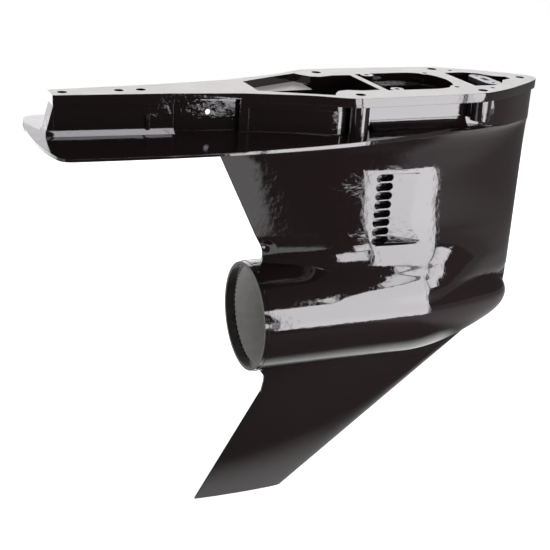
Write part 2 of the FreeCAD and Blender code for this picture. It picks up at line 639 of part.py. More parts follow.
def riser_foot(body):
    """The leaning after face of the riser, its foot fillet and the upright rib on each side."""
    face = new_sketch(body, "riser_end_outline", "XZ_Plane")
    inner, foot = "tail_foot_x + plate_thick * 2", "-(plate_depth + 1)"
    add_loop(face, [(inner, "-flange_thick"), ("wall_side_px10", "-flange_thick"), ("tail_foot_x", foot),
                    (inner, foot)])
    extrude(body, "riser_end", "Pad", face, "2 * tail_foot_half", both_ways=True)
    fillet = [deck_sketch(body, name + "_outline", depth, [("line", outline(name))])
              for name, depth in (("foot_top", "foot_top_depth"), ("foot_low", "plate_depth + 1"))]
    loft(body, "riser_foot", "AdditiveLoft", fillet, True)
    rib = new_sketch(body, "rib_outline", shift=("0", "0", "-(plate_depth)"))
    low, high = "rib_x - rib_wide / 2", "rib_x + rib_wide / 2"
    add_loop(rib, [(low, "-rib_half"), (high, "-rib_half"), (high, "rib_half"), (low, "rib_half")])
    extrude(body, "riser_rib", "Pad", rib, "plate_depth - rib_top")


def casting_recesses(body):
    """Sunk side panels of the riser, open to the outside and down to the plate."""
    for name, top in (("aft_panel", "panel_top"), ("side_panel", "flange_thick + panel_top")):
        points = outline(name)
        beyond = [(x, "panel_beyond") for x, y in reversed(points)]
        sketch = new_sketch(body, name + "_outline", shift=("0", "0", "-(%s)" % top))
        add_loop(sketch, points + beyond)
        add_loop(sketch, [(x, "-(%s)" % y) for x, y in points + beyond])
        extrude(body, name, "Pocket", sketch, "plate_depth - (%s)" % top)


def casting_wells(body):
    """The three deck openings, the exhaust way and the water passage."""
    aft = deck_sketch(body, "aft_well_outline", "0", [("line", outline("aft_well"))])
    extrude(body, "aft_well", "Pocket", aft, "aft_shelf_depth")
    deep = deck_sketch(body, "aft_deep_outline", "aft_shelf_depth - 1", [("line", outline("aft_deep"))])
    extrude(body, "aft_well_floor", "Pocket", deep, "aft_well_depth - aft_shelf_depth + 1")
    ways = []
    for end, depth in (("top", "aft_well_depth - 1"), ("foot", "shaft_drop - bore_r + 8")):
        sketch = new_sketch(body, "exhaust_" + end, shift=("0", "0", "-(%s)" % depth))
        front, back = "exhaust_%s_front" % end, "exhaust_%s_back" % end
        front_half, back_half = "exhaust_%s_front_half" % end, "exhaust_%s_back_half" % end
        add_loop(sketch, [(front, front_half), (back, back_half), (back, "-" + back_half),
                          (front, "-" + front_half)])
        ways.append(sketch)
    loft(body, "exhaust_way", "SubtractiveLoft", ways, True)
    pump = deck_sketch(body, "pump_well_outline", "0",
                       [("line", outline("pump_back")), ("spline", outline("pump_bow"))])
    extrude(body, "pump_well_step", "Pocket", pump, "pump_step_depth")
    deep = new_sketch(body, "pump_well_floor", shift=("0", "0", "-(pump_step_depth - 1)"))
    add_loop(deep, [("pump_floor_back", "-pump_well_half"), ("pump_floor_front", "-pump_well_half"),
                    ("pump_floor_front + 10", "-pump_well_half / 2"),
                    ("pump_floor_front + 10", "pump_well_half / 2"),
                    ("pump_floor_front", "pump_well_half"), ("pump_floor_back", "pump_well_half")])
    extrude(body, "pump_well", "Pocket", deep, "pump_well_depth - pump_step_depth + 1")
    front = deck_sketch(body, "front_well_outline", "0", [("line", outline("front_well"))])
    extrude(body, "front_well_step", "Pocket", front, "retainer_depth")
    lower = deck_sketch(body, "front_well_floor", "retainer_depth - 1", [("line", outline("front_well"))])
    add_oblong(lower, "shift_x", "0", "retainer_half", "retainer_boss_r")
    extrude(body, "front_well", "Pocket", lower, "front_well_depth - retainer_depth + 1")
    water = new_sketch(body, "water_passage_outline", shift=("0", "0", "-(pump_well_depth - 1)"))
    add_loop(water, [("water_back_x", "-water_half"), ("water_front_x", "-water_half"),
                     ("water_front_x", "water_half"), ("water_back_x", "water_half")])
    extrude(body, "water_passage", "Pocket", water,
            "slot_top + (slot_count - 1) * slot_pitch + slot_high - pump_well_depth + 3")


def casting_inlets(body):
    """Sunk ramps on both sides, each ending in a row of round-ended slots."""
    low = "slot_top + (slot_count - 1) * slot_pitch + slot_high"
    ramp = new_sketch(body, "ramp_outline", shift=("0", "0", "-slot_top"))
    for side in ("", "-"):
        add_loop(ramp, [("slot_front_x - 8", side + "ramp_sink"), ("ramp_front_x", side + "ramp_rise"),
                        ("ramp_front_x", side + "(ramp_rise + 10)"),
                        ("slot_front_x - 8", side + "(ramp_rise + 10)")])
    extrude(body, "inlet_ramps", "Pocket", ramp, "%s - slot_top" % low)
    slot = new_sketch(body, "slot_outline", "XZ_Plane")
    top, foot, half = "-slot_top", "-(slot_top + slot_high)", "slot_high / 2"
    centre = ("slot_back_x + " + half, "-(slot_top + %s)" % half)
    add_line(slot, (centre[0], top), ("slot_front_x", top))
    add_line(slot, ("slot_front_x", top), ("slot_front_x", foot))
    add_line(slot, ("slot_front_x", foot), (centre[0], foot))
    add_end(slot, centre, half, math.pi / 2, centre[0], "DistanceX")
    cut = extrude(body, "inlet_slot", "Pocket", slot, "4 * ramp_rise", both_ways=True)
    row = body.newObject("PartDesign::LinearPattern", "inlet_slots")
    row.Originals = [cut]
    row.Direction = (origin_feature(body, "Z_Axis"), [""])
    row.Reversed = True
    row.setExpression("Length", bound("(slot_count - 1) * slot_pitch * 1 mm"))
    row.setExpression("Occurrences", bound("slot_count"))
    body.Tip = row


def casting_bores(body):
    """Bores on the propeller shaft, drive shaft and shift shaft axes."""
    prop = new_sketch(body, "prop_bores", "XZ_Plane", ("0", "-shaft_drop", "0"))
    seat_x, nose_x = "drive_x + cup_seat_front", "drive_x + cup_seat_front + cup_seat_len"
    mouth_x, end_x = "rim_x + mouth_depth", nose_x + " + nose_bore_len"
    add_loop(prop, [("rim_x - 1", "0"), ("rim_x - 1", "mouth_r"), (mouth_x, "mouth_r"), (mouth_x, "bore_r"),
                    ("bore_end_x", "bore_r"), ("bore_end_x", "chamber_r"), (seat_x, "chamber_r"),
                    (seat_x, "cup_seat_r"), (nose_x, "cup_seat_r"), (nose_x, "nose_bore_r"),
                    (end_x, "nose_bore_r"), (end_x, "0")])
    revolve(body, "prop_bore", "Groove", prop, "H_Axis")
    drive = new_sketch(body, "drive_bores", "XZ_Plane", ("drive_x", "0", "0"))
    floor, bearing = "-(pump_well_depth - 1)", "-upper_seat_depth"
    needle_top, needle_foot = "needle_seat_top - shaft_drop", "pinion_bore_top - shaft_drop"
    add_loop(drive, [("0", floor), ("upper_seat_r", floor), ("upper_seat_r", bearing),
                     ("shaft_tube_r", bearing), ("shaft_tube_r", needle_top),
                     ("needle_seat_r", needle_top), ("needle_seat_r", needle_foot),
                     ("pinion_bore_r", needle_foot), ("pinion_bore_r", "chamber_r / 2 - shaft_drop"),
                     ("0", "chamber_r / 2 - shaft_drop")])
    revolve(body, "drive_bore", "Groove", drive)
    shift = new_sketch(body, "shift_bores", "XZ_Plane", ("shift_x", "0", "0"))
    top, bush, foot = "-(retainer_depth - 1)", "-(retainer_depth + bush_len)", "nose_bore_r - shaft_drop - 2"
    add_loop(shift, [("0", top), ("bush_r", top), ("bush_r", bush), ("shift_tube_r", bush),
                     ("shift_tube_r", foot), ("0", foot)])
    revolve(body, "shift_bore", "Groove", shift)


def casting_holes(body):
    bosses = new_sketch(body, "pump_screw_bosses", shift=("0", "0", "-pump_step_depth"))
    screws = new_sketch(body, "pump_screw_holes")
    for x in ("drive_x + pump_span_x / 2", "drive_x - pump_span_x / 2"):
        for y in ("pump_span_y / 2", "-pump_span_y / 2"):
            add_circle(bosses, x, y, "pump_boss_r")
            add_circle(screws, x, y, "pump_hole_r")
    extrude(body, "pump_bosses", "Pad", bosses, "pump_step_depth")
    extrude(body, "pump_holes", "Pocket", screws, "blind_depth / 2")
    bolts = new_sketch(body, "deck_bolt_holes")
    for x in ("bolt_span_x / 2", "-bolt_span_x / 2"):
        for y in ("bolt_span_y / 2", "-bolt_span_y / 2"):
            add_circle(bolts, x, y, "bolt_hole_r")
    extrude(body, "bolt_holes", "Pocket", bolts, "plate_depth + 2 * plate_thick")
    blind = new_sketch(body, "centreline_holes")
    for x, radius in (("bow_hole_x", "bow_hole_r"), ("tail_hole_x", "tail_hole_r"),
                      ("mid_hole_x", "mid_hole_r"), ("mid_hole_x + mid_hole_gap", "mid_hole_r")):
        add_circle(blind, x, "0", radius)
    for y in ("rail_hole_y", "-rail_hole_y"):
        add_circle(blind, "rail_hole_x", y, "rail_hole_r")
    extrude(body, "blind_holes", "Pocket", blind, "blind_depth")
    retainer = new_sketch(body, "retainer_screw_holes")
    for y in ("retainer_screw_y", "-retainer_screw_y"):
        add_circle(retainer, "shift_x", y, "small_screw_r")
    extrude(body, "retainer_holes", "Pocket", retainer, "retainer_depth + blind_depth / 2")


def casting_plug_bores(body):
    """Threaded holes with flat faces for the two oil plugs."""
    for name, x, depth, face in PLUG_SEATS:
        for kind, radius, inner in (("face", "plug_face_r", face),
                                    ("hole", "plug_thread_r", face + " - plug_hole_depth")):
            sketch = new_sketch(body, "%s_%s_outline" % (name, kind), "XZ_Plane",
                                ("0", "0", "-(%s)" % inner))
            add_circle(sketch, x, "-(%s)" % depth, radius)
            extrude(body, "%s_%s" % (name, kind), "Pocket", sketch, "plug_hole_depth + 15")


def passage_hole(body):
    sketch = new_sketch(body, "passage_hole_outline", "XZ_Plane", ("0", "0", "passage_face_y + 1"))
    add_circle(sketch, "passage_x", "-passage_depth", "passage_r")
    extrude(body, "passage_hole", "Pocket", sketch, "passage_face_y + 1 - passage_end_y")


PLUG_SEATS = [("drain", "drain_x", "shaft_drop", "drain_face_y"), ("vent", "vent_x", "vent_depth", "vent_face_y")]


def gearcase():
    body = new_body("gearcase_housing")
    casting_skin(body)
    casting_deck(body)
    casting_recesses(body)
    casting_wells(body)
    casting_inlets(body)
    casting_bores(body)
    casting_holes(body)
    casting_plug_bores(body)
    passage_hole(body)
    return body


# Bevel gears. Heights are measured from the point where the shaft axes meet.

def cone(teeth, mate):
    """Pitch radius, pitch height and cone distance of a straight bevel gear, as expressions."""
    radius = "(gear_module * %s / 2)" % teeth
    height = "(gear_module * %s / 2)" % mate
    return radius, height, "sqrt(%s ^ 2 + %s ^ 2)" % (radius, height)


def cone_point(teeth, mate, lift, share="1"):
    """A point on the heel, lifted from the pitch cone by a number of modules, then brought to the apex."""
    radius, height, distance = cone(teeth, mate)
    return ("((%s + (%s) * gear_module * %s / %s) * %s)" % (radius, lift, height, distance, share),
            "((%s - (%s) * gear_module * %s / %s) * %s)" % (height, lift, radius, distance, share))


def tooth_space(teeth, mate):
    """One side of a tooth space at the heel, as lift from the pitch cone and half width.

    The flank is the involute of the back cone's own radius, and the space is widened by the backlash.
    """
    radius, height, distance = (value(e) for e in cone(teeth, mate))
    module, pressure = value("gear_module"), math.radians(value("pressure_angle"))
    back_r = radius * distance / height
    base_r = back_r * math.cos(pressure)
    half = (math.pi * module + value("backlash")) / 4 / back_r
    lifts = [-1.25, -0.45, 0.3, 1.4]
    points = []
    for lift in lifts:
        r = back_r + lift * module
        angle = math.acos(min(1.0, base_r / r))
        wide = half + (math.tan(angle) - angle) - (math.tan(pressure) - pressure)
        points.append((r * math.cos(wide) - back_r, r * math.sin(wide)))
    return points


def cut_teeth(body, teeth, mate):
    """Tooth spaces as lofts that shrink towards the apex, repeated round the gear."""
    radius, height, distance = cone(teeth, mate)
    tilt = "atan(%s / %s) / 1 deg" % (radius, height)
    ends = []
    for label, share in (("heel", "1.08"), ("toe", "(face_share - 0.08)")):
        scale = value(share)
        sketch = new_sketch(body, "%s_space_%s" % (body.Label, label), "XY_Plane",
                            ("%s * %s" % (radius, share), "0", "%s * %s" % (height, share)), tilt)
        side = [(repr(u * scale), repr(v * scale)) for u, v in tooth_space(teeth, mate)]
        add_loop(sketch, side + [(u, "-(%s)" % v) for u, v in reversed(side)])
        ends.append(sketch)
    space = loft(body, body.Label + "_space", "SubtractiveLoft", ends, True)
    pattern_round(body, body.Label + "_spaces", [space], teeth)


def add_jaws(body, face, height, upwards, phase):
    """Clutch jaws standing on a face at one height."""
    depth = "(%s) %s 1" % (face, "-" if upwards else "+")
    sketch = new_sketch(body, "%s_jaw_%s" % (body.Label, "up" if upwards else "down"), shift=("0", "0", depth))
    corners = []
    for radius, side in (("jaw_in_r", -1), ("clutch_r", -1), ("clutch_r", 1), ("jaw_in_r", 1)):
        angle = "(%s + %d * jaw_angle / 2)" % (phase, side)
        corners.append(("%s * cos(%s)" % (radius, angle), "%s * sin(%s)" % (radius, angle)))
    add_loop(sketch, corners)
    jaw = extrude(body, sketch.Label + "_pad", "Pad", sketch, "%s + 1" % height, backwards=not upwards)
    pattern_round(body, sketch.Label + "_ring", [jaw], "jaw_count")


def driven_gear(name, bore, hub_end, hub_points, turn):
    """A gear on the propeller shaft axis, with clutch jaws on the face towards the drive shaft."""
    face = "jaw_tip + jaw_high"
    teeth, mate = "gear_teeth", "pinion_teeth"
    root_r, root_a = cone_point(teeth, mate, "-1.25")
    points = [(bore, face), cone_point(teeth, mate, "-1.25", "face_share"),
              cone_point(teeth, mate, "1", "face_share"), cone_point(teeth, mate, "1"),
              (root_r, root_a), (root_r + " - 1", root_a + " + 3"),
              ("gear_hub_r + 2 * gear_hub_step", root_a + " + 6")]
    body = turned(name, points + hub_points + [("gear_hub_r", hub_end), (bore, hub_end)])
    cut_teeth(body, teeth, mate)
    add_jaws(body, face, "jaw_high", False, "0")
    return on_prop_axis(body, turn)


def forward_gear():
    start = "cup_seat_front + 1"
    return driven_gear("forward_gear", "gear_bore_r", "cup_seat_front + cup_seat_len + 2",
                       [("gear_hub_r + gear_hub_step", start), ("gear_hub_r", start)], TO_BOW)


def reverse_gear():
    start = "ball_bearing_start"
    return driven_gear("reverse_gear", "prop_r + reverse_bore_gap",
                       "ball_bearing_start + ball_bearing_len + 2",
                       [("gear_hub_r + gear_hub_step", start), ("gear_hub_r", start)], TO_STERN)


def pinion_gear():
    teeth, mate = "pinion_teeth", "gear_teeth"
    bore = "pinion_seat_r + fit_gap"
    toe_root = cone_point(teeth, mate, "-1.25", "face_share")
    heel_root = cone_point(teeth, mate, "-1.25")
    body = turned("pinion_gear", [(bore, toe_root[1]), toe_root, cone_point(teeth, mate, "1", "face_share"),
                                  cone_point(teeth, mate, "1"), heel_root,
                                  ("pinion_hub_r", heel_root[1] + " + 1"), ("pinion_hub_r", "pinion_hub_end"),
                                  (bore, "pinion_hub_end")])
    cut_teeth(body, teeth, mate)
    half_pitch = Rotation(Vector(0, 0, 1), 180 / value("pinion_teeth"))
    return on_drive_axis(body, half_pitch)


# Propeller shaft and clutch

def add_splines(body, name, count, inner, outer, wide, start, length, cut=False):
    """Straight splines round the body's axis, or the slots for them."""
    sketch = new_sketch(body, name + "_outline", shift=("0", "0", start))
    half = "(%s) / 2" % wide
    add_loop(sketch, [(inner, "-" + half), (outer, "-" + half), (outer, half), (inner, half)])
    feature = extrude(body, name, "Pocket" if cut else "Pad", sketch, length, backwards=cut)
    pattern_round(body, name + "_ring", [feature], count)


def cross_cut(body, name, half_wide, half_long):
    """A slot through both walls along the body's x axis."""
    sketch = new_sketch(body, name + "_outline", "YZ_Plane")
    add_loop(sketch, [("-(%s)" % half_wide, "-(%s)" % half_long), (half_wide, "-(%s)" % half_long),
                      (half_wide, half_long), ("-(%s)" % half_wide, half_long)])
    extrude(body, name, "Pocket", sketch, "4 * clutch_r", both_ways=True)


def cross_hole(body, name, radius):
    sketch = new_sketch(body, name + "_outline", "YZ_Plane")
    add_circle(sketch, "0", "0", radius)
    extrude(body, name, "Pocket", sketch, "4 * clutch_r", both_ways=True)


def prop_shaft():
    spline_start = "-(prop_back - pilot_len)"
    journal_start = "-(prop_back - pilot_len - prop_spline_len)"
    body = turned("prop_shaft", [
        ("0", "-prop_back"), ("prop_end_r - 1.5", "-prop_back"), ("prop_end_r - 1.5", spline_start),
        ("prop_spline_core_r", spline_start), ("prop_spline_core_r", journal_start),
        ("prop_r", journal_start), ("prop_r", "front_journal_start - 2"),
        ("front_journal_r", "front_journal_start"), ("front_journal_r", "prop_front"),
        ("rod_r + slide_gap", "prop_front"), ("rod_r + slide_gap", "-rod_bore_end"), ("0", "-rod_bore_end")])
    add_splines(body, "prop_splines", "prop_spline_count", "prop_spline_core_r - 1", "prop_end_r + 0.3",
                "prop_spline_wide", spline_start, "prop_spline_len")
    add_splines(body, "clutch_splines", "spline_count", "prop_r - 1", "spline_r", "spline_wide",
                "-(jaw_tip + jaw_high - 1)", "2 * (jaw_tip + jaw_high - 1)")
    cross_cut(body, "pin_slot", "cross_pin_r + slide_gap", "clutch_travel + cross_pin_r + slide_gap")
    return on_prop_axis(body)


def clutch_dog():
    face, bore = "(clutch_half - jaw_high)", "prop_r + slide_gap"
    groove = "ring_wire_r + slide_gap"
    body = turned("clutch_dog", [
        (bore, "-" + face), ("clutch_r", "-" + face), ("clutch_r", "-(%s)" % groove),
        ("clutch_r - ring_groove", "-(%s)" % groove), ("clutch_r - ring_groove", groove),
        ("clutch_r", groove), ("clutch_r", face), (bore, face)])
    add_splines(body, "spline_slots", "spline_count", "prop_r", "spline_r + slide_gap",
                "spline_wide + 2 * slide_gap", "-(clutch_half + 1)", "2 * clutch_half + 2", cut=True)
    half_step = "180 / jaw_count"
    add_jaws(body, face, "jaw_high", True, half_step)
    add_jaws(body, "-" + face, "jaw_high", False, half_step)
    cross_hole(body, "pin_hole", "cross_pin_r + fit_gap")
    return on_prop_axis(body)


def clutch_cross_pin():
    end = "clutch_r - ring_groove - slide_gap - fit_gap"
    return on_drive_axis(turned("clutch_cross_pin", [("0", "-(%s)" % end), ("cross_pin_r", "-(%s)" % end),
                                                     ("cross_pin_r", end), ("0", end)]))


def ring(name, centre_r, height, section_r):
    """A ring of round section about the body's own z axis."""
    body = new_body(name)
    sketch = new_sketch(body, name + "_section", "XZ_Plane")
    add_circle(sketch, centre_r, height, section_r)
    revolve(body, name + "_ring", "Revolution", sketch)
    return body


def shift_rod_spool():
    middle = "(shift_x - drive_x)"
    groove = "(crank_pin_r + pin_gap)"
    outer = "(%s + flange_wide)" % groove
    body = turned("shift_rod_spool", [
        ("0", "-(cross_pin_r * 2)"), ("rod_r", "-(cross_pin_r * 2)"), ("rod_r", "%s - %s" % (middle, outer)),
        ("spool_r", "%s - %s" % (middle, outer)), ("spool_r", "%s - %s" % (middle, groove)),
        ("spool_core_r", "%s - %s" % (middle, groove)), ("spool_core_r", "%s + %s" % (middle, groove)),
        ("spool_r", "%s + %s" % (middle, groove)), ("spool_r", "%s + %s" % (middle, outer)),
        ("0", "%s + %s" % (middle, outer))])
    cross_hole(body, "rod_pin_hole", "cross_pin_r + fit_gap")
    return on_prop_axis(body)


# Bearings

def rolling_set(name, radius, centre_r, height, length, count, tilt="0"):
    """A ring of rollers, each turned about its own tilted axis, repeated round the shaft."""
    body = new_body(name)
    sketch = new_sketch(body, name + "_profile", "XZ_Plane", (centre_r, height, "0"), tilt, (0, 0, 1))
    half = "(%s) / 2" % length
    add_loop(sketch, [("0", "-" + half), (radius, "-" + half), (radius, half), ("0", half)])
    first = revolve(body, name + "_first", "Revolution", sketch)
    pattern_round(body, name + "_set", [first], count)
    return body


def tapered_bearing(name, start, length, bore_r, seat_r, count, put):
    """Inner ring, rollers and cup of a tapered roller bearing whose cone narrows upwards."""
    middle, half = "(%s + (%s) / 2)" % (start, length), "((%s) / 2)" % length
    inner = "(%s + inner_ring_thick)" % bore_r
    centre = "(%s + roller_gap + roller_r)" % inner
    outer = "(%s + roller_gap + roller_r)" % centre
    rise = "(%s * tan(bearing_tilt))" % half
    low, high = "%s - %s" % (middle, half), "%s + %s" % (middle, half)
    put(turned(name + "_inner", [(bore_r + " + fit_gap", low + " + 1"), (inner + " + " + rise, low + " + 1"),
                                 (inner + " - " + rise, high + " - 1"), (bore_r + " + fit_gap", high + " - 1")]))
    put(rolling_set(name + "_rollers", "roller_r", centre, middle, "roller_len", count, "bearing_tilt"))
    put(turned(name + "_cup", [(outer + " + " + rise, low), (seat_r + " - fit_gap", low),
                               (seat_r + " - fit_gap", high), (outer + " - " + rise, high)]))


def needle_shell(name, shaft_r, seat_r, start, length):
    """The drawn shell of a needle bearing."""
    inner = "%s + 2 * needle_r + 3 * fit_gap" % shaft_r
    return turned(name, [(inner, start), (seat_r + " - fit_gap", start),
                         (seat_r + " - fit_gap", "%s + %s" % (start, length)), (inner, "%s + %s" % (start, length))])


def ball_ring(name, plain, groove_side):
    """A ball bearing ring: plain wall on one side, a groove for the balls on the other."""
    start, end = "ball_bearing_start", "ball_bearing_start + ball_bearing_len"
    middle = "(ball_bearing_start + ball_bearing_len / 2)"
    shoulder = "(ball_ring_r %s ball_r * 0.7)" % groove_side
    floor = "(ball_ring_r %s ball_r * 1.04)" % groove_side
    deep, wide = "ball_r * 0.38", "ball_r * 0.75"
    return turned(name, [(plain, start), (shoulder, start), (shoulder, "%s - %s" % (middle, wide)),
                         (floor, "%s - %s" % (middle, deep)), (floor, "%s + %s" % (middle, deep)),
                         (shoulder, "%s + %s" % (middle, wide)), (shoulder, end), (plain, end)])


def balls():
    body = new_body("reverse_bearing_balls")
    ball = body.newObject("PartDesign::AdditiveSphere", "ball")
    ball.AttachmentSupport = [(origin_feature(body, "XY_Plane"), "")]
    ball.MapMode = "FlatFace"
    ball.setExpression("Radius", bound("ball_r * 1 mm"))
    ball.setExpression("AttachmentOffset.Base.x", bound("ball_ring_r * 1 mm"))
    ball.setExpression("AttachmentOffset.Base.z", bound("(ball_bearing_start + ball_bearing_len / 2) * 1 mm"))
    pattern_round(body, "balls", [ball], "ball_count")
    return body


def bearings():
    upper_start = "shaft_drop - upper_seat_depth"
    tapered_bearing("forward_bearing", "cup_seat_front", "cup_seat_len", "gear_hub_r", "cup_seat_r",
                    "front_roller_count", on_prop_axis)
    tapered_bearing("upper_bearing", upper_start, "upper_bearing_len", "drive_r", "upper_seat_r",
                    "upper_roller_count", on_drive_axis)
    on_prop_axis(rolling_set("forward_gear_needles", "front_needle_r", "front_journal_r + fit_gap + front_needle_r",
                             "cup_seat_front + cup_seat_len / 2", "needle_len", "needle_count"))
    needle_start = "pinion_bore_top + 2"
    needle_long = "needle_seat_top - pinion_bore_top - 4"
    on_drive_axis(needle_shell("pinion_needle_shell", "drive_r", "needle_seat_r", needle_start, needle_long))
    on_drive_axis(rolling_set("pinion_needles", "needle_r", "drive_r + fit_gap + needle_r",
                              "(%s + (%s) / 2)" % (needle_start, needle_long), needle_long + " - 4",
                              "needle_count"))
    on_prop_axis(needle_shell("carrier_needle_shell", "prop_r", "carrier_bore_r", CARRIER_BACK + " - needle_len - 4",
                              "needle_len + 2"), TO_STERN)
    on_prop_axis(rolling_set("carrier_needles", "needle_r", "prop_r + fit_gap + needle_r",
                             CARRIER_BACK + " - needle_len / 2 - 3", "needle_len", "needle_count"), TO_STERN)
    on_prop_axis(ball_ring("reverse_bearing_inner", "gear_hub_r + fit_gap", "-"), TO_STERN)
    on_prop_axis(ball_ring("reverse_bearing_outer", "ball_ring_r + ball_r + ball_ring_thick - 1.4", "+"), TO_STERN)
    on_prop_axis(balls(), TO_STERN)


# Bearing carrier and what holds it, measured aft from the drive shaft axis
CARRIER_LAND = "(drive_x - bore_end_x)"
CARRIER_BACK = "(%s + carrier_land + carrier_tube_len + carrier_flange)" % CARRIER_LAND


def cut_windows(body, start, length):
    sketch = new_sketch(body, body.Label + "_window", shift=("0", "0", start + " - 1"))
    add_circle(sketch, "window_ring_r", "0", "window_r")
    window = extrude(body, body.Label + "_window_cut", "Pocket", sketch, length + " + 2", backwards=True)
    pattern_round(body, body.Label + "_windows", [window], "window_count")


def bearing_carrier():
    nose_r, land_r = "chamber_r - run_gap", "bore_r - fit_gap"
    seat_r = "ball_ring_r + ball_r + ball_ring_thick - 1.4 + fit_gap"
    seat_end = "ball_bearing_start + ball_bearing_len + fit_gap"
    land_end = CARRIER_LAND + " + carrier_land"
    tube_end = land_end + " + carrier_tube_len"
    groove = "(%s + carrier_land / 2)" % CARRIER_LAND
    groove_r, groove_half = "bore_r - 2 * o_ring_r", "(o_ring_r + 0.2)"
    body = turned("bearing_carrier", [
        (seat_r, "carrier_start"), (nose_r, "carrier_start"), (nose_r, CARRIER_LAND), (land_r, CARRIER_LAND),
        (land_r, "%s - %s" % (groove, groove_half)), (groove_r, "%s - %s" % (groove, groove_half)),
        (groove_r, "%s + %s" % (groove, groove_half)), (land_r, "%s + %s" % (groove, groove_half)),
        (land_r, land_end), ("carrier_tube_r", land_end), ("carrier_tube_r", tube_end), (land_r, tube_end),
        (land_r, CARRIER_BACK), ("carrier_hub_r", CARRIER_BACK), ("carrier_hub_r", "carrier_end"),
        ("carrier_bore_r", "carrier_end"), ("carrier_bore_r", land_end + " - 3"),
        (seat_r + " - 5", seat_end + " + 10"), (seat_r + " - 5", seat_end), (seat_r, seat_end)])
    cut_windows(body, tube_end, "carrier_flange")
    return on_prop_axis(body, TO_STERN)


def carrier_fittings():
    groove = "(%s + carrier_land / 2)" % CARRIER_LAND
    on_prop_axis(ring("carrier_o_ring", "bore_r - o_ring_r - fit_gap / 2", groove, "o_ring_r - fit_gap"), TO_STERN)
    inner, outer = "carrier_hub_r + run_gap", "bore_r - run_gap"
    nut_start = CARRIER_BACK + " + tab_thick"
    for name, start, end in (("carrier_tab_washer", CARRIER_BACK, nut_start),
                             ("carrier_ring_nut", nut_start, "carrier_end")):
        body = turned(name, [(inner, start), (outer, start), (outer, end), (inner, end)])
        cut_windows(body, start, "%s - (%s)" % (end, start))
        on_prop_axis(body, TO_STERN)
    body = new_body("prop_shaft_seals")
    sketch = new_sketch(body, "seal_profile", "XZ_Plane")
    for back in ("1", "seal_len + 1.5"):
        end = "(carrier_end - %s)" % back
        add_loop(sketch, lip_seal("prop_r + seal_gap", "carrier_bore_r - fit_gap", end, "seal_len"))
    revolve(body, "seals", "Revolution", sketch)
    on_prop_axis(body, TO_STERN)


def lip_seal(inner, outer, end, length):
    """Half profile of a shaft seal: an outer shell and a lip that narrows to the shaft."""
    start = "%s - %s" % (end, length)
    return [(outer, start), (outer, end), (outer + " - 1.6", end), (inner, "%s - %s * 0.45" % (end, length)),
            (inner, "%s - %s * 0.6" % (end, length)), (outer + " - 2", start)]


# Drive shaft and its fittings, measured up from the propeller shaft axis

def drive_shaft():
    top, bearing = "(shaft_drop - drive_top)", "(shaft_drop - upper_seat_depth)"
    spline_end = "(%s - drive_pilot_len)" % top
    spline_start = "(%s - drive_spline_len)" % spline_end
    toe = cone_point("pinion_teeth", "gear_teeth", "-1.25", "face_share")[1]
    body = turned("drive_shaft", [
        ("0", "nut_foot - 1.3"), ("thread_r", "nut_foot - 1.3"), ("thread_r", toe + " + 0.5"),
        ("pinion_seat_r", toe + " + 2"), ("pinion_seat_r", "pinion_hub_end"), ("drive_r", "pinion_hub_end"),
        ("drive_r", bearing + " - shoulder_len"), ("shoulder_r", bearing + " - shoulder_len + 2"),
        ("shoulder_r", bearing + " + 1"), ("drive_r", bearing + " + 1"), ("drive_r", spline_start),
        ("drive_core_r", spline_start), ("drive_core_r", spline_end), ("drive_pilot_r", spline_end),
        ("drive_pilot_r", top + " - 1.5"), ("drive_pilot_r - 1.5", top), ("0", top)])
    add_splines(body, "drive_splines", "drive_spline_count", "drive_core_r - 1", "drive_r",
                "drive_spline_wide", spline_start, "drive_spline_len")
    return on_drive_axis(body)


def pinion_nut():
    body = new_body("pinion_nut")
    sketch = new_sketch(body, "nut_outline", shift=("0", "0", "nut_foot"))
    corners = [("nut_flat / cos(30) * cos(%d)" % angle, "nut_flat / cos(30) * sin(%d)" % angle)
               for angle in range(0, 360, 60)]
    add_loop(sketch, corners)
    add_circle(sketch, "0", "0", "thread_r + fit_gap")
    toe = cone_point("pinion_teeth", "gear_teeth", "-1.25", "face_share")[1]
    extrude(body, "nut", "Pad", sketch, "%s - nut_foot - fit_gap" % toe)
    return on_drive_axis(body)


def upper_fittings():
    start = "(shaft_drop - upper_seat_depth + upper_bearing_len + run_gap)"
    end = "(shaft_drop - pump_well_depth)"
    nut = turned("upper_bearing_nut", [("upper_nut_in_r", start), ("upper_seat_r - fit_gap", start),
                                       ("upper_seat_r - fit_gap", end), ("upper_nut_in_r", end)])
    add_splines(nut, "spanner_slots", "4", "upper_nut_in_r + 3", "upper_seat_r + 1", "5", end + " - 3", "4", cut=True)
    on_drive_axis(nut)
    seal_end = "(%s - 1)" % end
    on_drive_axis(turned("drive_shaft_seal", lip_seal("drive_r + seal_gap", "upper_nut_in_r - fit_gap", seal_end,
                                                      "seal_len")))


# Shift linkage

def shift_shaft():
    foot, top = "(spool_r + crank_gap)", "(shaft_drop - shift_top)"
    return on_shift_axis(turned("shift_shaft", [("0", foot), ("shift_r", foot), ("shift_r", top + " - 1"),
                                                ("shift_r - 1", top), ("0", top)]))


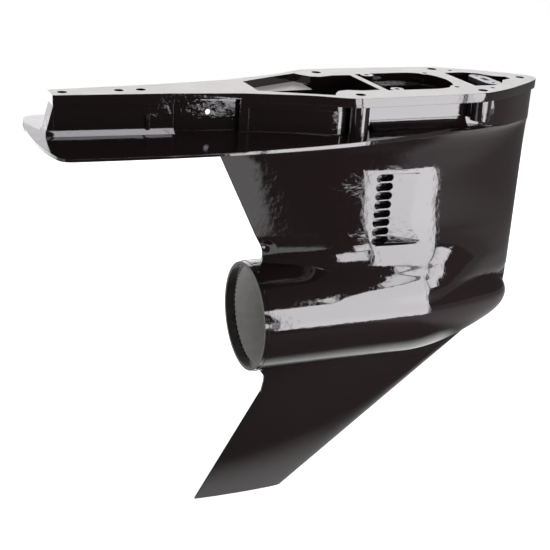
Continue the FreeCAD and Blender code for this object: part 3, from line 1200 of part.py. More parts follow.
def shift_crank():
    """The arm on the foot of the shift shaft, with the pin that moves the spool."""
    body = new_body("shift_crank")
    foot = "(spool_r + crank_gap)"
    hub = new_sketch(body, "crank_hub", shift=("0", "0", foot))
    add_circle(hub, "0", "0", "crank_hub_r")
    extrude(body, "hub", "Pad", hub, "crank_thick")
    arm = new_sketch(body, "crank_arm", shift=("0", "0", foot))
    add_loop(arm, [("-crank_end_r", "0"), ("crank_end_r", "0"), ("crank_end_r", "crank_throw"),
                   ("-crank_end_r", "crank_throw")])
    extrude(body, "arm", "Pad", arm, "crank_thick")
    end = new_sketch(body, "crank_end", shift=("0", "0", foot))
    add_circle(end, "0", "crank_throw", "crank_end_r")
    extrude(body, "end", "Pad", end, "crank_thick")
    pin = new_sketch(body, "crank_pin", shift=("0", "0", foot + " - pin_reach"))
    add_circle(pin, "0", "crank_throw", "crank_pin_r")
    extrude(body, "pin", "Pad", pin, "pin_reach + 1")
    hole = new_sketch(body, "crank_hole", shift=("0", "0", foot + " + crank_thick"))
    add_circle(hole, "0", "0", "shift_r + fit_gap")
    extrude(body, "hole", "Pocket", hole, "crank_thick + 1")
    return on_shift_axis(body)


def shift_fittings():
    seat_top = "(shaft_drop - retainer_depth)"
    bush_foot = "(%s - bush_len)" % seat_top
    seal_top = "(%s + shift_seal_len)" % bush_foot
    on_shift_axis(turned("shift_shaft_bushing", [("shift_r + run_gap / 2", seal_top), ("bush_r - fit_gap", seal_top),
                                                 ("bush_r - fit_gap", seat_top), ("shift_r + run_gap / 2", seat_top)]))
    on_shift_axis(turned("shift_shaft_seal", lip_seal("shift_r + seal_gap", "bush_r - fit_gap",
                                                      "(%s - fit_gap)" % seal_top, "(shift_seal_len - fit_gap)")))


def retainer():
    body = new_body("shift_shaft_retainer")
    plate = new_sketch(body, "retainer_outline", shift=("0", "0", "shaft_drop - retainer_depth"))
    add_oblong(plate, "0", "0", "retainer_half", "retainer_boss_r")
    add_oblong(plate, "0", "0", "slot_half", "slot_r")
    extrude(body, "retainer_plate", "Pad", plate, "retainer_thick")
    sink = new_sketch(body, "screw_sink", "XZ_Plane", ("0", "0", "retainer_screw_y"))
    top = "(shaft_drop - retainer_depth + retainer_thick)"
    shank = "(small_screw_r + fit_gap)"
    head = "(screw_head_r + fit_gap)"
    add_loop(sketch=sink, points=[("0", top + " + 1"), (head, top + " + 1"), (head, top),
                                  (shank, "%s - (%s - %s)" % (top, head, shank)),
                                  (shank, top + " - retainer_thick - 1"), ("0", top + " - retainer_thick - 1")])
    cut = revolve(body, "screw_seat", "Groove", sink)
    repeat_across(body, "screw_seats", cut)
    return on_shift_axis(body)


def repeat_across(body, name, feature):
    """The same feature at both retainer screws, port and starboard."""
    row = body.newObject("PartDesign::LinearPattern", name)
    row.Originals = [feature]
    row.Direction = (origin_feature(body, "Y_Axis"), [""])
    row.setExpression("Length", bound("2 * retainer_screw_y * 1 mm"))
    row.Occurrences = 2
    body.Tip = row


def retainer_screws():
    body = new_body("retainer_screws")
    profile = new_sketch(body, "screw_profile", "XZ_Plane", ("0", "0", "retainer_screw_y"))
    top, shank = "(shaft_drop - retainer_depth + retainer_thick)", "(small_screw_r - fit_gap)"
    add_loop(profile, [("0", top + " - 1"), ("screw_head_r / 2", top + " - 1"), ("screw_head_r / 2", top),
                       ("screw_head_r", top), (shank, "%s - (screw_head_r - %s)" % (top, shank)),
                       (shank, top + " - screw_len"), ("0", top + " - screw_len")])
    screw = revolve(body, "screw", "Revolution", profile)
    repeat_across(body, "screws", screw)
    return on_shift_axis(body)


def oil_plugs():
    """Plug and washer of each oil hole, turned on an axis that points to port."""
    for name, x, depth, face in PLUG_SEATS:
        washer = turned(name + "_plug_washer", [("plug_thread_r + fit_gap", "0"), ("plug_head_r", "0"),
                                                ("plug_head_r", "washer_thick"),
                                                ("plug_thread_r + fit_gap", "washer_thick")])
        seat(washer, x, "-(%s)" % depth, face, TO_PORT)
        plug = turned(name + "_plug", [("0", "2 - plug_hole_depth"), ("plug_thread_r - fit_gap", "2 - plug_hole_depth"),
                                       ("plug_thread_r - fit_gap", "washer_thick"),
                                       ("plug_head_r - 0.5", "washer_thick"),
                                       ("plug_head_r - 0.5", "washer_thick + plug_head_len - 1"),
                                       ("plug_head_r - 1.5", "washer_thick + plug_head_len"),
                                       ("0", "washer_thick + plug_head_len")])
        slot = new_sketch(plug, name + "_slot_outline", shift=("0", "0", "washer_thick + plug_head_len"))
        add_loop(slot, [("-plug_head_r", "-0.9"), ("plug_head_r", "-0.9"), ("plug_head_r", "0.9"),
                        ("-plug_head_r", "0.9")])
        extrude(plug, name + "_slot", "Pocket", slot, "plug_head_len / 2")
        seat(plug, x, "-(%s)" % depth, face, TO_PORT)


def passage_plug():
    end, edge = "passage_face_y - passage_end_y - fit_gap", "passage_r - fit_gap - pin_gap * 2"
    plug = turned("passage_plug", [("0", "0"), (edge, "0"), ("passage_r - fit_gap", "pin_gap * 2"),
                                   ("passage_r - fit_gap", end), ("0", end)])
    seat(plug, "passage_x", "-passage_depth", "-passage_face_y", TO_PORT)


def check_document():
    """Stop on any failed object, and on a cut that removed nothing."""
    for item in document.Objects:
        if "Invalid" in item.State or "Error" in item.State:
            raise RuntimeError("%s is %s" % (item.Label, item.State))
        base = getattr(item, "BaseFeature", None)
        if base is None or item.TypeId not in ("PartDesign::Pocket", "PartDesign::Groove"):
            continue
        if item.Shape.Volume >= base.Shape.Volume - 1e-3:
            raise RuntimeError("%s cuts nothing" % item.Label)


def export(bodies):
    os.makedirs("parts", exist_ok=True)
    for body in bodies:
        if body.Shape.isNull() or not body.Shape.isValid():
            raise RuntimeError("%s has no valid shape" % body.Label)
        body.Shape.exportStep("parts/%s.step" % body.Label)


def main():
    for build in (gearcase, forward_gear, reverse_gear, pinion_gear, prop_shaft, clutch_dog, clutch_cross_pin,
                  shift_rod_spool, bearings, bearing_carrier, carrier_fittings, drive_shaft, pinion_nut,
                  upper_fittings, shift_shaft, shift_crank, shift_fittings, retainer, retainer_screws, oil_plugs,
                  passage_plug):
        build()
    on_prop_axis(ring("clutch_retaining_spring", "clutch_r - ring_groove + ring_wire_r + fit_gap", "0", "ring_wire_r"))
    document.recompute()
    check_document()
    export([item for item in document.Objects if item.TypeId == "PartDesign::Body"])


main()
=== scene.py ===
# Outboard lower unit: paint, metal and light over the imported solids.
import json
import math
import bpy
import bmesh
import numpy as np
from mathutils import Matrix, Vector


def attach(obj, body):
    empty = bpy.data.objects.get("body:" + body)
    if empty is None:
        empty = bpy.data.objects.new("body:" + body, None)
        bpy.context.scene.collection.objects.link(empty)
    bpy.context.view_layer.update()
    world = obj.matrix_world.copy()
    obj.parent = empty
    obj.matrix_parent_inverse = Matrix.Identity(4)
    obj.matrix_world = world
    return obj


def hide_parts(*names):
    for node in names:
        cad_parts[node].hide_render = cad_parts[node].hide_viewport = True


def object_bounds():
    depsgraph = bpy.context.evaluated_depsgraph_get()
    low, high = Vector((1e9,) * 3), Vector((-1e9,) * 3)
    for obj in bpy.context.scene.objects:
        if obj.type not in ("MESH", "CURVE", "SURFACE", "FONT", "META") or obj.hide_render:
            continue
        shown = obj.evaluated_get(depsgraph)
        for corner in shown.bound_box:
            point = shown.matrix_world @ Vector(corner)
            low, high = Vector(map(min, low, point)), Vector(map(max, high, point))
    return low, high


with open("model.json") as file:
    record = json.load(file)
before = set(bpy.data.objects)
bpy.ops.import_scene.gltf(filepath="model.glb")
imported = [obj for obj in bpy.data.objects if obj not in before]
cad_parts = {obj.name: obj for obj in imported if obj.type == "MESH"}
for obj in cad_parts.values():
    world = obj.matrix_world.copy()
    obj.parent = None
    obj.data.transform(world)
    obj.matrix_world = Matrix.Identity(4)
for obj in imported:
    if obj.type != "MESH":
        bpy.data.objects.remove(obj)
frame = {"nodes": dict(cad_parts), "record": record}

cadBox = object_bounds()
scene = bpy.context.scene
print("frame loaded:", len(frame["nodes"]), "nodes")


# Shader maths
class Sock:
    # A socket in one material's tree; the operators add Math nodes

    def __init__(self, tree, socket):
        self.tree, self.socket = tree, socket

    def node(self, kind, settings=None, **inputs):
        # An input goes by its label, with _ for a space, or by its place, as in i0
        made = self.tree.nodes.new(kind)
        for name, value in (settings or {}).items():
            setattr(made, name, value)
        for name, value in inputs.items():
            key = int(name[1:]) if name[0] == "i" and name[1:].isdigit() else name.replace("_", " ")
            if isinstance(value, Sock):
                self.tree.links.new(value.socket, made.inputs[key])
            else:
                made.inputs[key].default_value = value
        return made

    def out(self, kind, settings=None, pick=0, **inputs):
        # The output of a new node, by place or by name
        return Sock(self.tree, self.node(kind, settings, **inputs).outputs[pick])

    def math(self, operation, *values):
        numbered = {"i%d" % place: value for place, value in enumerate(values)}
        return self.out("ShaderNodeMath", {"operation": operation}, **numbered)

    def __add__(self, other): return self.math("ADD", self, other)
    def __radd__(self, other): return self.math("ADD", other, self)
    def __sub__(self, other): return self.math("SUBTRACT", self, other)
    def __rsub__(self, other): return self.math("SUBTRACT", other, self)
    def __mul__(self, other): return self.math("MULTIPLY", self, other)
    def __rmul__(self, other): return self.math("MULTIPLY", other, self)

    def smooth(self, low, high):
        # 0 below low, 1 above high, eased between
        return self.out("ShaderNodeMapRange", {"interpolation_type": "SMOOTHSTEP"}, Value=self,
                        From_Min=low, From_Max=high)

    def mixColour(self, a, b):
        # Colour a where this mask is 0, colour b where it is 1, on the node's colour sockets
        colourA, colourB, colourOut = 6, 7, 2
        made = self.node("ShaderNodeMix", {"data_type": "RGBA"}, Factor=self)
        for number, value in ((colourA, a), (colourB, b)):
            made.inputs[number].default_value = (*value, 1)
        return Sock(self.tree, made.outputs[colourOut])


def newMaterial(name, colour, metallic, roughness, **constants):
    # A Principled material; constants such as Coat_Weight are set on its sockets
    material = bpy.data.materials.new(name)
    material.use_nodes = True
    tree = material.node_tree
    shader = tree.nodes["Principled BSDF"]
    shader.inputs["Base Color"].default_value = (*colour, 1)
    shader.inputs["Metallic"].default_value = metallic
    shader.inputs["Roughness"].default_value = roughness
    for key, value in constants.items():
        shader.inputs[key.replace("_", " ")].default_value = value
    material.diffuse_color = (*colour, 1)
    place = tree.nodes.new("ShaderNodeTexCoord")
    return material, shader, Sock(tree, place.outputs["Object"])


def feed(shader, socketName, value):
    value.tree.links.new(value.socket, shader.inputs[socketName])


def noise(at, scale, detail=3.0, rough=0.5, stretch=None):
    # Noise from 0 to 1; stretch scales the pattern along each axis
    if stretch:
        at = at.out("ShaderNodeMapping", None, Vector=at, Scale=stretch)
    return at.out("ShaderNodeTexNoise", None, Vector=at, Scale=scale, Detail=detail, Roughness=rough)


def bump(height, strength, distance, **normal):
    # Relief of the given depth in metres; a Normal may be passed on from another node
    return height.out("ShaderNodeBump", None, Height=height, Strength=strength, Distance=distance, **normal)


def glossPaint():
    # Black gloss over cast metal: fine orange peel plus slow waves of the casting under the coat
    finish = {"colour": (0.0110, 0.0068, 0.0070), "rough": 0.03, "coatRough": 0.015, "refraction": 1.5,
              "peelScale": 120, "peel": 0.17, "waveScale": 24, "wave": 0.55, "relief": 0.0012,
              "wearScale": 14, "wear": 0.04, "worn": (0.45, 0.8), "edgeRound": 0.0012}
    material, shader, at = newMaterial("glossPaint", finish["colour"], 0.0, finish["rough"], Coat_Weight=1.0,
                                       Coat_Roughness=finish["coatRough"], IOR=finish["refraction"])
    peel = noise(at, finish["peelScale"], 3.0, 0.6)
    waves = noise(at, finish["waveScale"], 3.0, 0.55)
    wear = noise(at, finish["wearScale"], 4.0)
    feed(shader, "Roughness", finish["rough"] + finish["wear"] * wear.smooth(*finish["worn"]))
    height = finish["wave"] * waves + finish["peel"] * peel
    soft = at.out("ShaderNodeBevel", {"samples": 4}, Radius=finish["edgeRound"])
    feed(shader, "Normal", bump(height, 1.0, finish["relief"], Normal=soft))
    return material


def bareFace():
    # Milled alloy, a blend of light and dark by 0.55 patches + 0.45 grain; the grain runs along x
    finish = {"light": (0.82, 0.805, 0.77), "dark": (0.72, 0.70, 0.67), "metallic": 0.35,
              "grainScale": 260, "grainRun": (0.12, 1, 1), "patchScale": 22, "blend": (0.55, 0.45),
              "rough": 0.26, "roughGrain": 0.16, "bump": 0.08, "relief": 0.0003}
    material, shader, at = newMaterial("deckFace", finish["light"], finish["metallic"], finish["rough"])
    grain = noise(at, finish["grainScale"], 3.0, 0.6, finish["grainRun"])
    patches = noise(at, finish["patchScale"])
    patchShare, grainShare = finish["blend"]
    feed(shader, "Base Color", (patchShare * patches + grainShare * grain).smooth(0.25, 0.75)
         .mixColour(finish["light"], finish["dark"]))
    feed(shader, "Roughness", finish["rough"] + finish["roughGrain"] * grain)
    feed(shader, "Normal", bump(grain, finish["bump"], finish["relief"]))
    return material


def turnedMetal(name, colour, roughness, pitch, metallic=1.0):
    # Metal turned on a lathe along x: a sine of x makes fine rings, noise changes the tone slowly
    finish = {"cloudScale": 90, "tone": 0.25, "dark": 0.6, "roughCloud": 0.12, "ring": 0.6, "cloud": 0.8,
              "bump": 0.12, "relief": 0.0002}
    material, shader, at = newMaterial(name, colour, metallic, roughness)
    along = at.out("ShaderNodeSeparateXYZ", None, "X", Vector=at)
    rings = along.math("SINE", along * (2 * math.pi / pitch))
    cloud = noise(at, finish["cloudScale"], 3.0, 0.55)
    feed(shader, "Base Color", (cloud.smooth(0.3, 0.75) * finish["tone"])
         .mixColour(colour, tuple(c * finish["dark"] for c in colour)))
    feed(shader, "Roughness", roughness + finish["roughCloud"] * cloud)
    height = finish["ring"] * rings + finish["cloud"] * cloud
    feed(shader, "Normal", bump(height, finish["bump"], finish["relief"]))
    return material


def plainMetal(name, colour, roughness, scale, strength=0.1):
    # Ground or forged metal with a faint mottle
    finish = {"dark": 0.72, "roughCloud": 0.14, "relief": 0.0002}
    material, shader, at = newMaterial(name, colour, 1.0, roughness)
    cloud = noise(at, scale, 4.0, 0.6)
    feed(shader, "Base Color", cloud.smooth(0.35, 0.8)
         .mixColour(colour, tuple(c * finish["dark"] for c in colour)))
    feed(shader, "Roughness", roughness + finish["roughCloud"] * cloud)
    feed(shader, "Normal", bump(cloud, strength, finish["relief"]))
    return material


def sealRubber():
    finish = {"colour": (0.02, 0.02, 0.021), "rough": 0.5, "roughGrain": 0.15, "grainScale": 900,
              "bump": 0.15, "relief": 0.0002}
    material, shader, at = newMaterial("sealRubber", finish["colour"], 0.0, finish["rough"])
    grain = noise(at, finish["grainScale"], 2.0)
    feed(shader, "Roughness", finish["rough"] + finish["roughGrain"] * grain)
    feed(shader, "Normal", bump(grain, finish["bump"], finish["relief"]))
    return material


materials = {
    "casting": glossPaint(),
    "deckFace": bareFace(),
    "boreMetal": turnedMetal("boreMetal", (0.92, 0.90, 0.87), 0.36, 0.0011, metallic=0.35),
    "carrier_alloy": turnedMetal("carrierAlloy", (0.66, 0.67, 0.69), 0.3, 0.0013),
    "gear_steel": plainMetal("gearSteel", (0.36, 0.36, 0.37), 0.28, 120),
    "shaft_steel": plainMetal("shaftSteel", (0.64, 0.64, 0.65), 0.18, 220, 0.05),
    "bearing_steel": plainMetal("bearingSteel", (0.56, 0.57, 0.58), 0.16, 260, 0.04),
    "bronze": plainMetal("bushingBronze", (0.62, 0.44, 0.22), 0.3, 200),
    "washer_steel": plainMetal("washerSteel", (0.6, 0.6, 0.6), 0.34, 140),
    "screw_steel": plainMetal("screwSteel", (0.68, 0.68, 0.69), 0.28, 180),
    "seal_rubber": sealRubber(),
}
print("materials made:", len(materials))

nodeSlots = {part["node"]: part["material_slot"] for part in frame["record"]["subparts"]}
for node, obj in frame["nodes"].items():
    obj.data.materials.clear()
    obj.data.materials.append(materials[nodeSlots[node]])


# Casting: skin below the plate, then the node's own surface for deck, wells and bores
skinShape = {  # mm; depth is measured down from the deck face, half widths from the centre plane
    # depth, leading edge, trailing edge, then half widths: at the nose, ahead of, at, behind and
    # aft of the drive axis, at the trailing edge
    "strut": [(44, 177, -222, 10, 38, 60, 62, 44, 8), (50, 176.6, -219.5, 9, 31, 50, 51, 37, 5.5),
              (60, 176.3, -214.7, 8.5, 27, 42.6, 43.6, 32, 4),
              (68, 176.1, -210.9, 8.2, 26, 40, 41, 30.6, 3.5),
              (78, 176, -206, 8, 25, 38.3, 39.3, 29.6, 3),
              (92, 176, -199.2, 8, 25, 36.4, 37.3, 28.5, 3), (100, 176, -195.3, 8, 25, 36.1, 36.8, 28.2, 3),
              (120, 176, -185.5, 8, 25, 36, 36.5, 28, 3), (168, 176, -162, 8, 25, 37, 37.5, 28, 3),
              (188, 176, -152.5, 8, 25, 40, 40.5, 29, 3), (200, 176, -153, 8, 25, 44, 44.5, 32, 4),
              (212, 176, -158, 8, 25, 50, 50.5, 38, 6), (224, 176, -158, 8, 24, 55, 56, 44, 10),
              (250, 176, -158, 7, 22, 58, 59, 48, 14), (262, 174.5, -158, 5, 20, 57, 58, 46, 13)],
    "poleSteps": (46, 66.5, -5.5, -78.5, 30), "strutSamples": 240,
    "tailGain": 2, "tailAdd": 4.5, "tailEnd": 0.5,  # last but one pole is gain * edge + add, last is end * edge
    "fadeDepth": 226, "fade": 0.02,  # the strut narrows by fade * (depth below fadeDepth) squared
    # depth, leading edge, trailing edge, half thickness
    "skeg": [(288, 163.2, -158, 9), (331, 106.5, -151, 8.5), (346, 86.7, -140.5, 8.2),
             (362, 65.5, -143.5, 7.9), (496, -111.3, -222, 3.2)],
    "skegEdge": 1.2, "skegTop": 288, "skegPlaces": (0.15, 0.3), "skegWidths": (0.5, 1.15), "skegSamples": 120,
    "torpedoRadius": 63.5, "torpedoDepth": 265, "collarX": -165,
    "sternLine": ((265, 331), (-158, -151)),  # depths and x of the line aft of the torpedo's lower half
    # nose spline: start, length, then the place and radius of its poles as shares
    "noseStart": 20, "noseLength": 156, "nosePlaces": (0, 0.25, 0.75, 1, 1), "noseRadii": (1, 1, 0.6, 0.3, 0),
    "noseSamples": 240,
    # rounding between strut and torpedo, which tightens over the crease's length, and towards the skeg
    "blendHigh": 14, "blendLow": 7, "creaseStart": 40, "creaseLength": 60, "creaseRound": 2.5,
    "slotTop": 97.5, "slotPitch": 10.5, "slotHigh": 7.6, "slotCount": 8, "slotBack": -33, "slotFront": -15,
    "slotDeep": 13, "slotEdge": 0.5, "slotRound": 0.4,
    "rampFront": 31, "rampSink": 31.5, "rampRise": 38, "rampMargin": 1.2, "rampAft": 4, "rampFore": 8,
    "dimple": {"x": -149, "depth": 180, "radius": 4.2, "deep": 2.4},
    # rows: first depth, last depth, count; the torpedo's rows lie at equal turns of its circle
    "rowsHigh": (44, 95.4, 22), "rowsSlotHead": (96.15, 96.3), "rowsSlots": (96.9, 178.2, 126),
    "rowsSlotFoot": (178.75, 178.9), "rowsWaist": (180.5, 200.9, 12), "rowTurn": 3.0, "rowTurns": 60,
    "rowsFoot": (0.6, 1.6, 3.2, 6), "rowsSkeg": (338, 496, 26),
    # columns: fixed marks round the slots, which slide to shares of the chord down the skeg
    "marks": (40, -10, -38), "markShares": (0.4, 0.55, 0.65), "slideDepth": 285, "slideLength": 55,
    "noseColumns": 50, "columns": (25, 42, 52), "tailClose": (1, 1, 0.66, 0.33, 0),
}


def splineThrough(knots, values, at):
    # Cubic Hermite curve through every column of values, with tangents from the neighbours
    knots, values = np.asarray(knots, float), np.asarray(values, float)
    slope = np.gradient(values, knots, axis=0)
    at = np.clip(at, knots[0], knots[-1])
    k = np.clip(np.searchsorted(knots, at, side="right") - 1, 0, len(knots) - 2)
    step = (knots[k + 1] - knots[k])[:, None]
    t = (at[:, None] - knots[k][:, None]) / step
    return ((2 * t**3 - 3 * t**2 + 1) * values[k] + (t**3 - 2 * t**2 + t) * step * slope[k]
            + (3 * t**2 - 2 * t**3) * values[k + 1] + (t**3 - t**2) * step * slope[k + 1])


def bsplineBasis(poles, samples):
    # Clamped uniform cubic basis (Cox-de Boor): one row per sample, one column per pole
    knots = np.concatenate([np.zeros(3), np.linspace(0, 1, poles - 2), np.ones(3)])
    s = np.linspace(0, 1, samples)[:, None]
    basis = ((s >= knots[None, :-1]) & (s < knots[None, 1:])).astype(float)
    basis[-1, poles - 1] = 1
    for degree in (1, 2, 3):
        width = knots[degree:-1] - knots[:-degree - 1]
        widthNext = knots[degree + 1:] - knots[1:-degree]
        rise = (s - knots[:-degree - 1]) / np.where(width > 0, width, 1)
        fall = (knots[degree + 1:] - s) / np.where(widthNext > 0, widthNext, 1)
        left, right = np.where(width > 0, rise, 0), np.where(widthNext > 0, fall, 0)
        basis = left * basis[:, :-1] + right * basis[:, 1:]
    return basis


def smoothMax(a, b, reach):
    # The larger of two widths, plus (reach - difference) squared / (4 reach) where they are within reach
    near = np.maximum(reach - np.abs(a - b), 0) / reach
    return np.maximum(a, b) + near**2 * reach / 4


def curveWidth(x, curve):
    # Half width at x for each row, read from that row's own edge curve
    outside = -60
    return np.array([np.interp(-row, -cx, cy, left=outside, right=outside) for row, cx, cy in zip(x, *curve)])


def edgeCurve(poleX, poleY, samples):
    # Edge curve of every row: its poles times the spline basis
    basis = bsplineBasis(poleX.shape[1], samples)
    return poleX @ basis.T, poleY @ basis.T


def noseCurve():
    # Stations and radii along the nose: spline basis times the poles
    g = skinShape
    basis = bsplineBasis(len(g["nosePlaces"]), g["noseSamples"])
    return (g["noseStart"] + g["noseLength"] * (basis @ np.array(g["nosePlaces"])),
            g["torpedoRadius"] * (basis @ np.array(g["noseRadii"])))


def rowDepths():
    # Depth of every row; round the torpedo it is the axis's depth - radius * cos(turn)
    g = skinShape
    deep, radius = g["torpedoDepth"], g["torpedoRadius"]
    turn = np.radians(g["rowTurn"] * np.arange(1, g["rowTurns"] + 1))
    return np.concatenate([np.linspace(*g["rowsHigh"]), g["rowsSlotHead"], np.linspace(*g["rowsSlots"]),
                           g["rowsSlotFoot"], np.linspace(*g["rowsWaist"]), [deep - radius],
                           deep - radius * np.cos(turn), deep + radius + np.array(g["rowsFoot"]),
                           np.linspace(*g["rowsSkeg"])])


def strutCurve(depth):
    # Leading and trailing edge and edge curve of the strut, each row's poles from the table
    g = skinShape
    table = splineThrough([row[0] for row in g["strut"]], [row[1:] for row in g["strut"]], depth)
    lead, trail, nose, fore, mid, aft, tail, edge = table.T
    back, ahead, behind, after, last = g["poleSteps"]
    full = np.ones_like(lead)
    poleX = np.stack([lead, lead, lead - back, ahead * full, behind * full, after * full,
                      trail + last, trail], 1)
    poleY = np.stack([0 * full, nose, fore, mid, aft, tail,
                      edge * g["tailGain"] + g["tailAdd"], edge * g["tailEnd"]], 1)
    return lead, trail, edgeCurve(poleX, poleY, g["strutSamples"])


def skegCurve(depth):
    # Leading and trailing edge and edge curve of the skeg, with the poles at shares of its chord
    g = skinShape
    table = np.array(g["skeg"], float)
    lead, trail, half = (np.interp(depth, table[:, 0], table[:, k]) for k in (1, 2, 3))
    chord = lead - trail
    front, back = g["skegPlaces"]
    slim, full = g["skegWidths"]
    poleX = np.stack([lead, lead, lead - front * chord, trail + back * chord, trail], 1)
    poleY = np.stack([0 * half, half * slim, half * full, half * full, g["skegEdge"] + 0 * half], 1)
    return lead, trail, edgeCurve(poleX, poleY, g["skegSamples"])


def stations(depth, front, rear, inside):
    # x of every column: marks from front to rear with columns between them, then the tail's few
    g = skinShape
    slide = np.clip((depth - g["slideDepth"]) / g["slideLength"], 0, 1)[:, None]
    slide = slide * slide * (3 - 2 * slide)
    chord = (front - rear)[:, None]
    bands = np.array(g["marks"], float)[None, :] * (1 - slide) + slide * (
        front[:, None] - np.array(g["markShares"])[None, :] * chord)
    marks = np.concatenate([front[:, None], bands, rear[:, None]], 1)
    shares = [1 - np.cos(np.linspace(0, np.pi / 2, g["noseColumns"]))]
    shares += [np.linspace(0, 1, count) for count in g["columns"]]
    shares = [share[:-1] for share in shares[:-1]] + shares[-1:]
    x = np.concatenate([marks[:, k:k + 1] + (marks[:, k + 1:k + 2] - marks[:, k:k + 1]) * share[None, :]
                        for k, share in enumerate(shares)], 1)
    tailShare = np.linspace(0, 1, len(g["tailClose"]) + 1)[1:]
    tailEnd = np.where(inside, g["collarX"], rear)
    return np.concatenate([x, rear[:, None] + (tailEnd - rear)[:, None] * tailShare[None, :]], 1)


def cutInlet(x, wide, depth):
    # Inlet ramp: width no more than its floor. Slots: less a fixed depth within each rounded bar
    g = skinShape
    share = np.clip((x - g["slotFront"]) / (g["rampFront"] - g["slotFront"]), 0, 1)
    floor = g["rampSink"] + (g["rampRise"] - g["rampSink"]) * share
    low = g["slotTop"] + (g["slotCount"] - 1) * g["slotPitch"] + g["slotHigh"]
    rows = (depth > g["slotTop"] - g["rampMargin"]) & (depth < low + g["rampMargin"])
    inRamp = rows[:, None] & (x > g["slotBack"] + g["rampAft"]) & (x < g["rampFront"] + g["rampFore"])
    wide = np.where(inRamp, np.minimum(wide, floor), wide)
    middle = g["slotTop"] + g["slotHigh"] / 2 + g["slotPitch"] * np.arange(g["slotCount"])
    across = np.abs(depth[:, None] - middle[None, :]).min(1)[:, None]
    reach = g["slotHigh"] / 2
    along = np.maximum(g["slotBack"] + reach - x, x - (g["slotFront"] - reach * g["slotRound"]))
    distance = np.hypot(np.maximum(along, 0), across) - reach
    return wide - g["slotDeep"] * np.clip(0.5 - distance / g["slotEdge"], 0, 1)


def skinGrid():
    # Half widths over a grid of depth and station: strut, torpedo and skeg joined by rounded maxima
    g = skinShape
    nowhere = -999
    depth = rowDepths()
    lead, trail, strutEdge = strutCurve(depth)
    skegLead, skegTrail, skegEdge = skegCurve(depth)
    radius, off = g["torpedoRadius"], depth - g["torpedoDepth"]
    inside, high, low = np.abs(off) < radius, off < 0, depth > g["skegTop"]
    noseAt, noseRadius = noseCurve()
    noseX = np.where(inside, np.interp(np.abs(off), noseRadius[::-1], noseAt[::-1]), nowhere)
    front = np.maximum(np.where(high, lead, nowhere), noseX)
    front = np.maximum(front, np.where(low, skegLead, nowhere))
    stern = np.where(inside & ~high, np.interp(depth, *g["sternLine"]), trail)
    rear = np.where(low & ~inside, skegTrail, stern)
    x = stations(depth, front, rear, inside)
    fade = g["fade"] * np.clip(depth - g["fadeDepth"], 0, None)[:, None] ** 2
    strutWide = curveWidth(x, strutEdge) - fade
    skegWide = curveWidth(x, skegEdge) - np.clip(g["skegTop"] - depth, 0, None)[:, None]
    ring = np.interp(x, noseAt, noseRadius, left=radius, right=0)
    square = ring**2 - off[:, None]**2
    torpedoWide = np.sign(square) * np.sqrt(np.abs(square))
    crease = np.clip((x - g["creaseStart"]) / g["creaseLength"], 0, 1)
    wide = smoothMax(strutWide, torpedoWide, g["blendHigh"] * (1 - crease) + g["creaseRound"] * crease)
    wide = np.maximum(smoothMax(wide, skegWide, g["blendLow"]), 0)
    wide[:, 0] = 0
    close = np.array(g["tailClose"])
    wide[~inside, -len(close):] = wide[~inside, -len(close) - 1][:, None] * close[None, :]
    wide = cutInlet(x, wide, depth)
    dimple = g["dimple"]
    away = (x - dimple["x"])**2 + (depth[:, None] - dimple["depth"])**2
    return x, wide - dimple["deep"] * np.exp(-away / dimple["radius"]**2), depth


def lowerSkin():
    # Strut, torpedo and skeg as one sheet: columns run from the port tail round the leading edge to starboard
    x, wide, depth = skinTable
    z = np.repeat(-depth[:, None], x.shape[1], 1)
    sheetX = np.concatenate([x[:, ::-1], x[:, 1:]], 1)
    sheetY = np.concatenate([wide[:, ::-1], -wide[:, 1:]], 1)
    sheetZ = np.concatenate([z[:, ::-1], z[:, 1:]], 1)
    foot = np.stack([sheetX[-1:], 0 * sheetY[-1:], sheetZ[-1:]], 2)
    points = np.concatenate([np.stack([sheetX, sheetY, sheetZ], 2), foot], 0) / 1000
    return gridMesh("castingLowerSkin", points)


def gridMesh(name, points):
    # A mesh from a grid of points, rows by columns, with its faces outwards on the right-hand side
    weld, sharp = 0.000004, math.radians(34)
    rows, columns = points.shape[:2]
    index = np.arange(rows * columns).reshape(rows, columns)
    quads = np.stack([index[:-1, :-1], index[:-1, 1:], index[1:, 1:], index[1:, :-1]], 2).reshape(-1, 4)
    mesh = bpy.data.meshes.new(name)
    mesh.from_pydata(points.reshape(-1, 3), [], quads)
    work = bmesh.new()
    work.from_mesh(mesh)
    bmesh.ops.remove_doubles(work, verts=work.verts, dist=weld)
    bmesh.ops.dissolve_degenerate(work, edges=work.edges, dist=weld)
    work.to_mesh(mesh)
    work.free()
    mesh.polygons.foreach_set("use_smooth", np.ones(len(mesh.polygons), dtype=bool))
    mesh.set_sharp_from_angle(angle=sharp)
    made = bpy.data.objects.new(name, mesh)
    scene.collection.objects.link(made)
    return made


def castingSkin():
    skin = lowerSkin()
    skin.data.materials.append(materials["casting"])
    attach(skin, "housing")
    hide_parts("gearcase_housing")
    print("skin below the plate:", len(skin.data.polygons), "faces")


def skinWidth(points):
    # Half width of the skin at each point's own station and depth, in metres
    x, wide, depth = skinTable
    rows = np.clip(np.searchsorted(depth, -points[:, 2] * 1000), 0, len(depth) - 1)
    width = np.zeros(len(points))
    for row in np.unique(rows):
        here = rows == row
        width[here] = np.interp(-points[here, 0] * 1000, -x[row], wide[row], left=0, right=0)
    return width / 1000


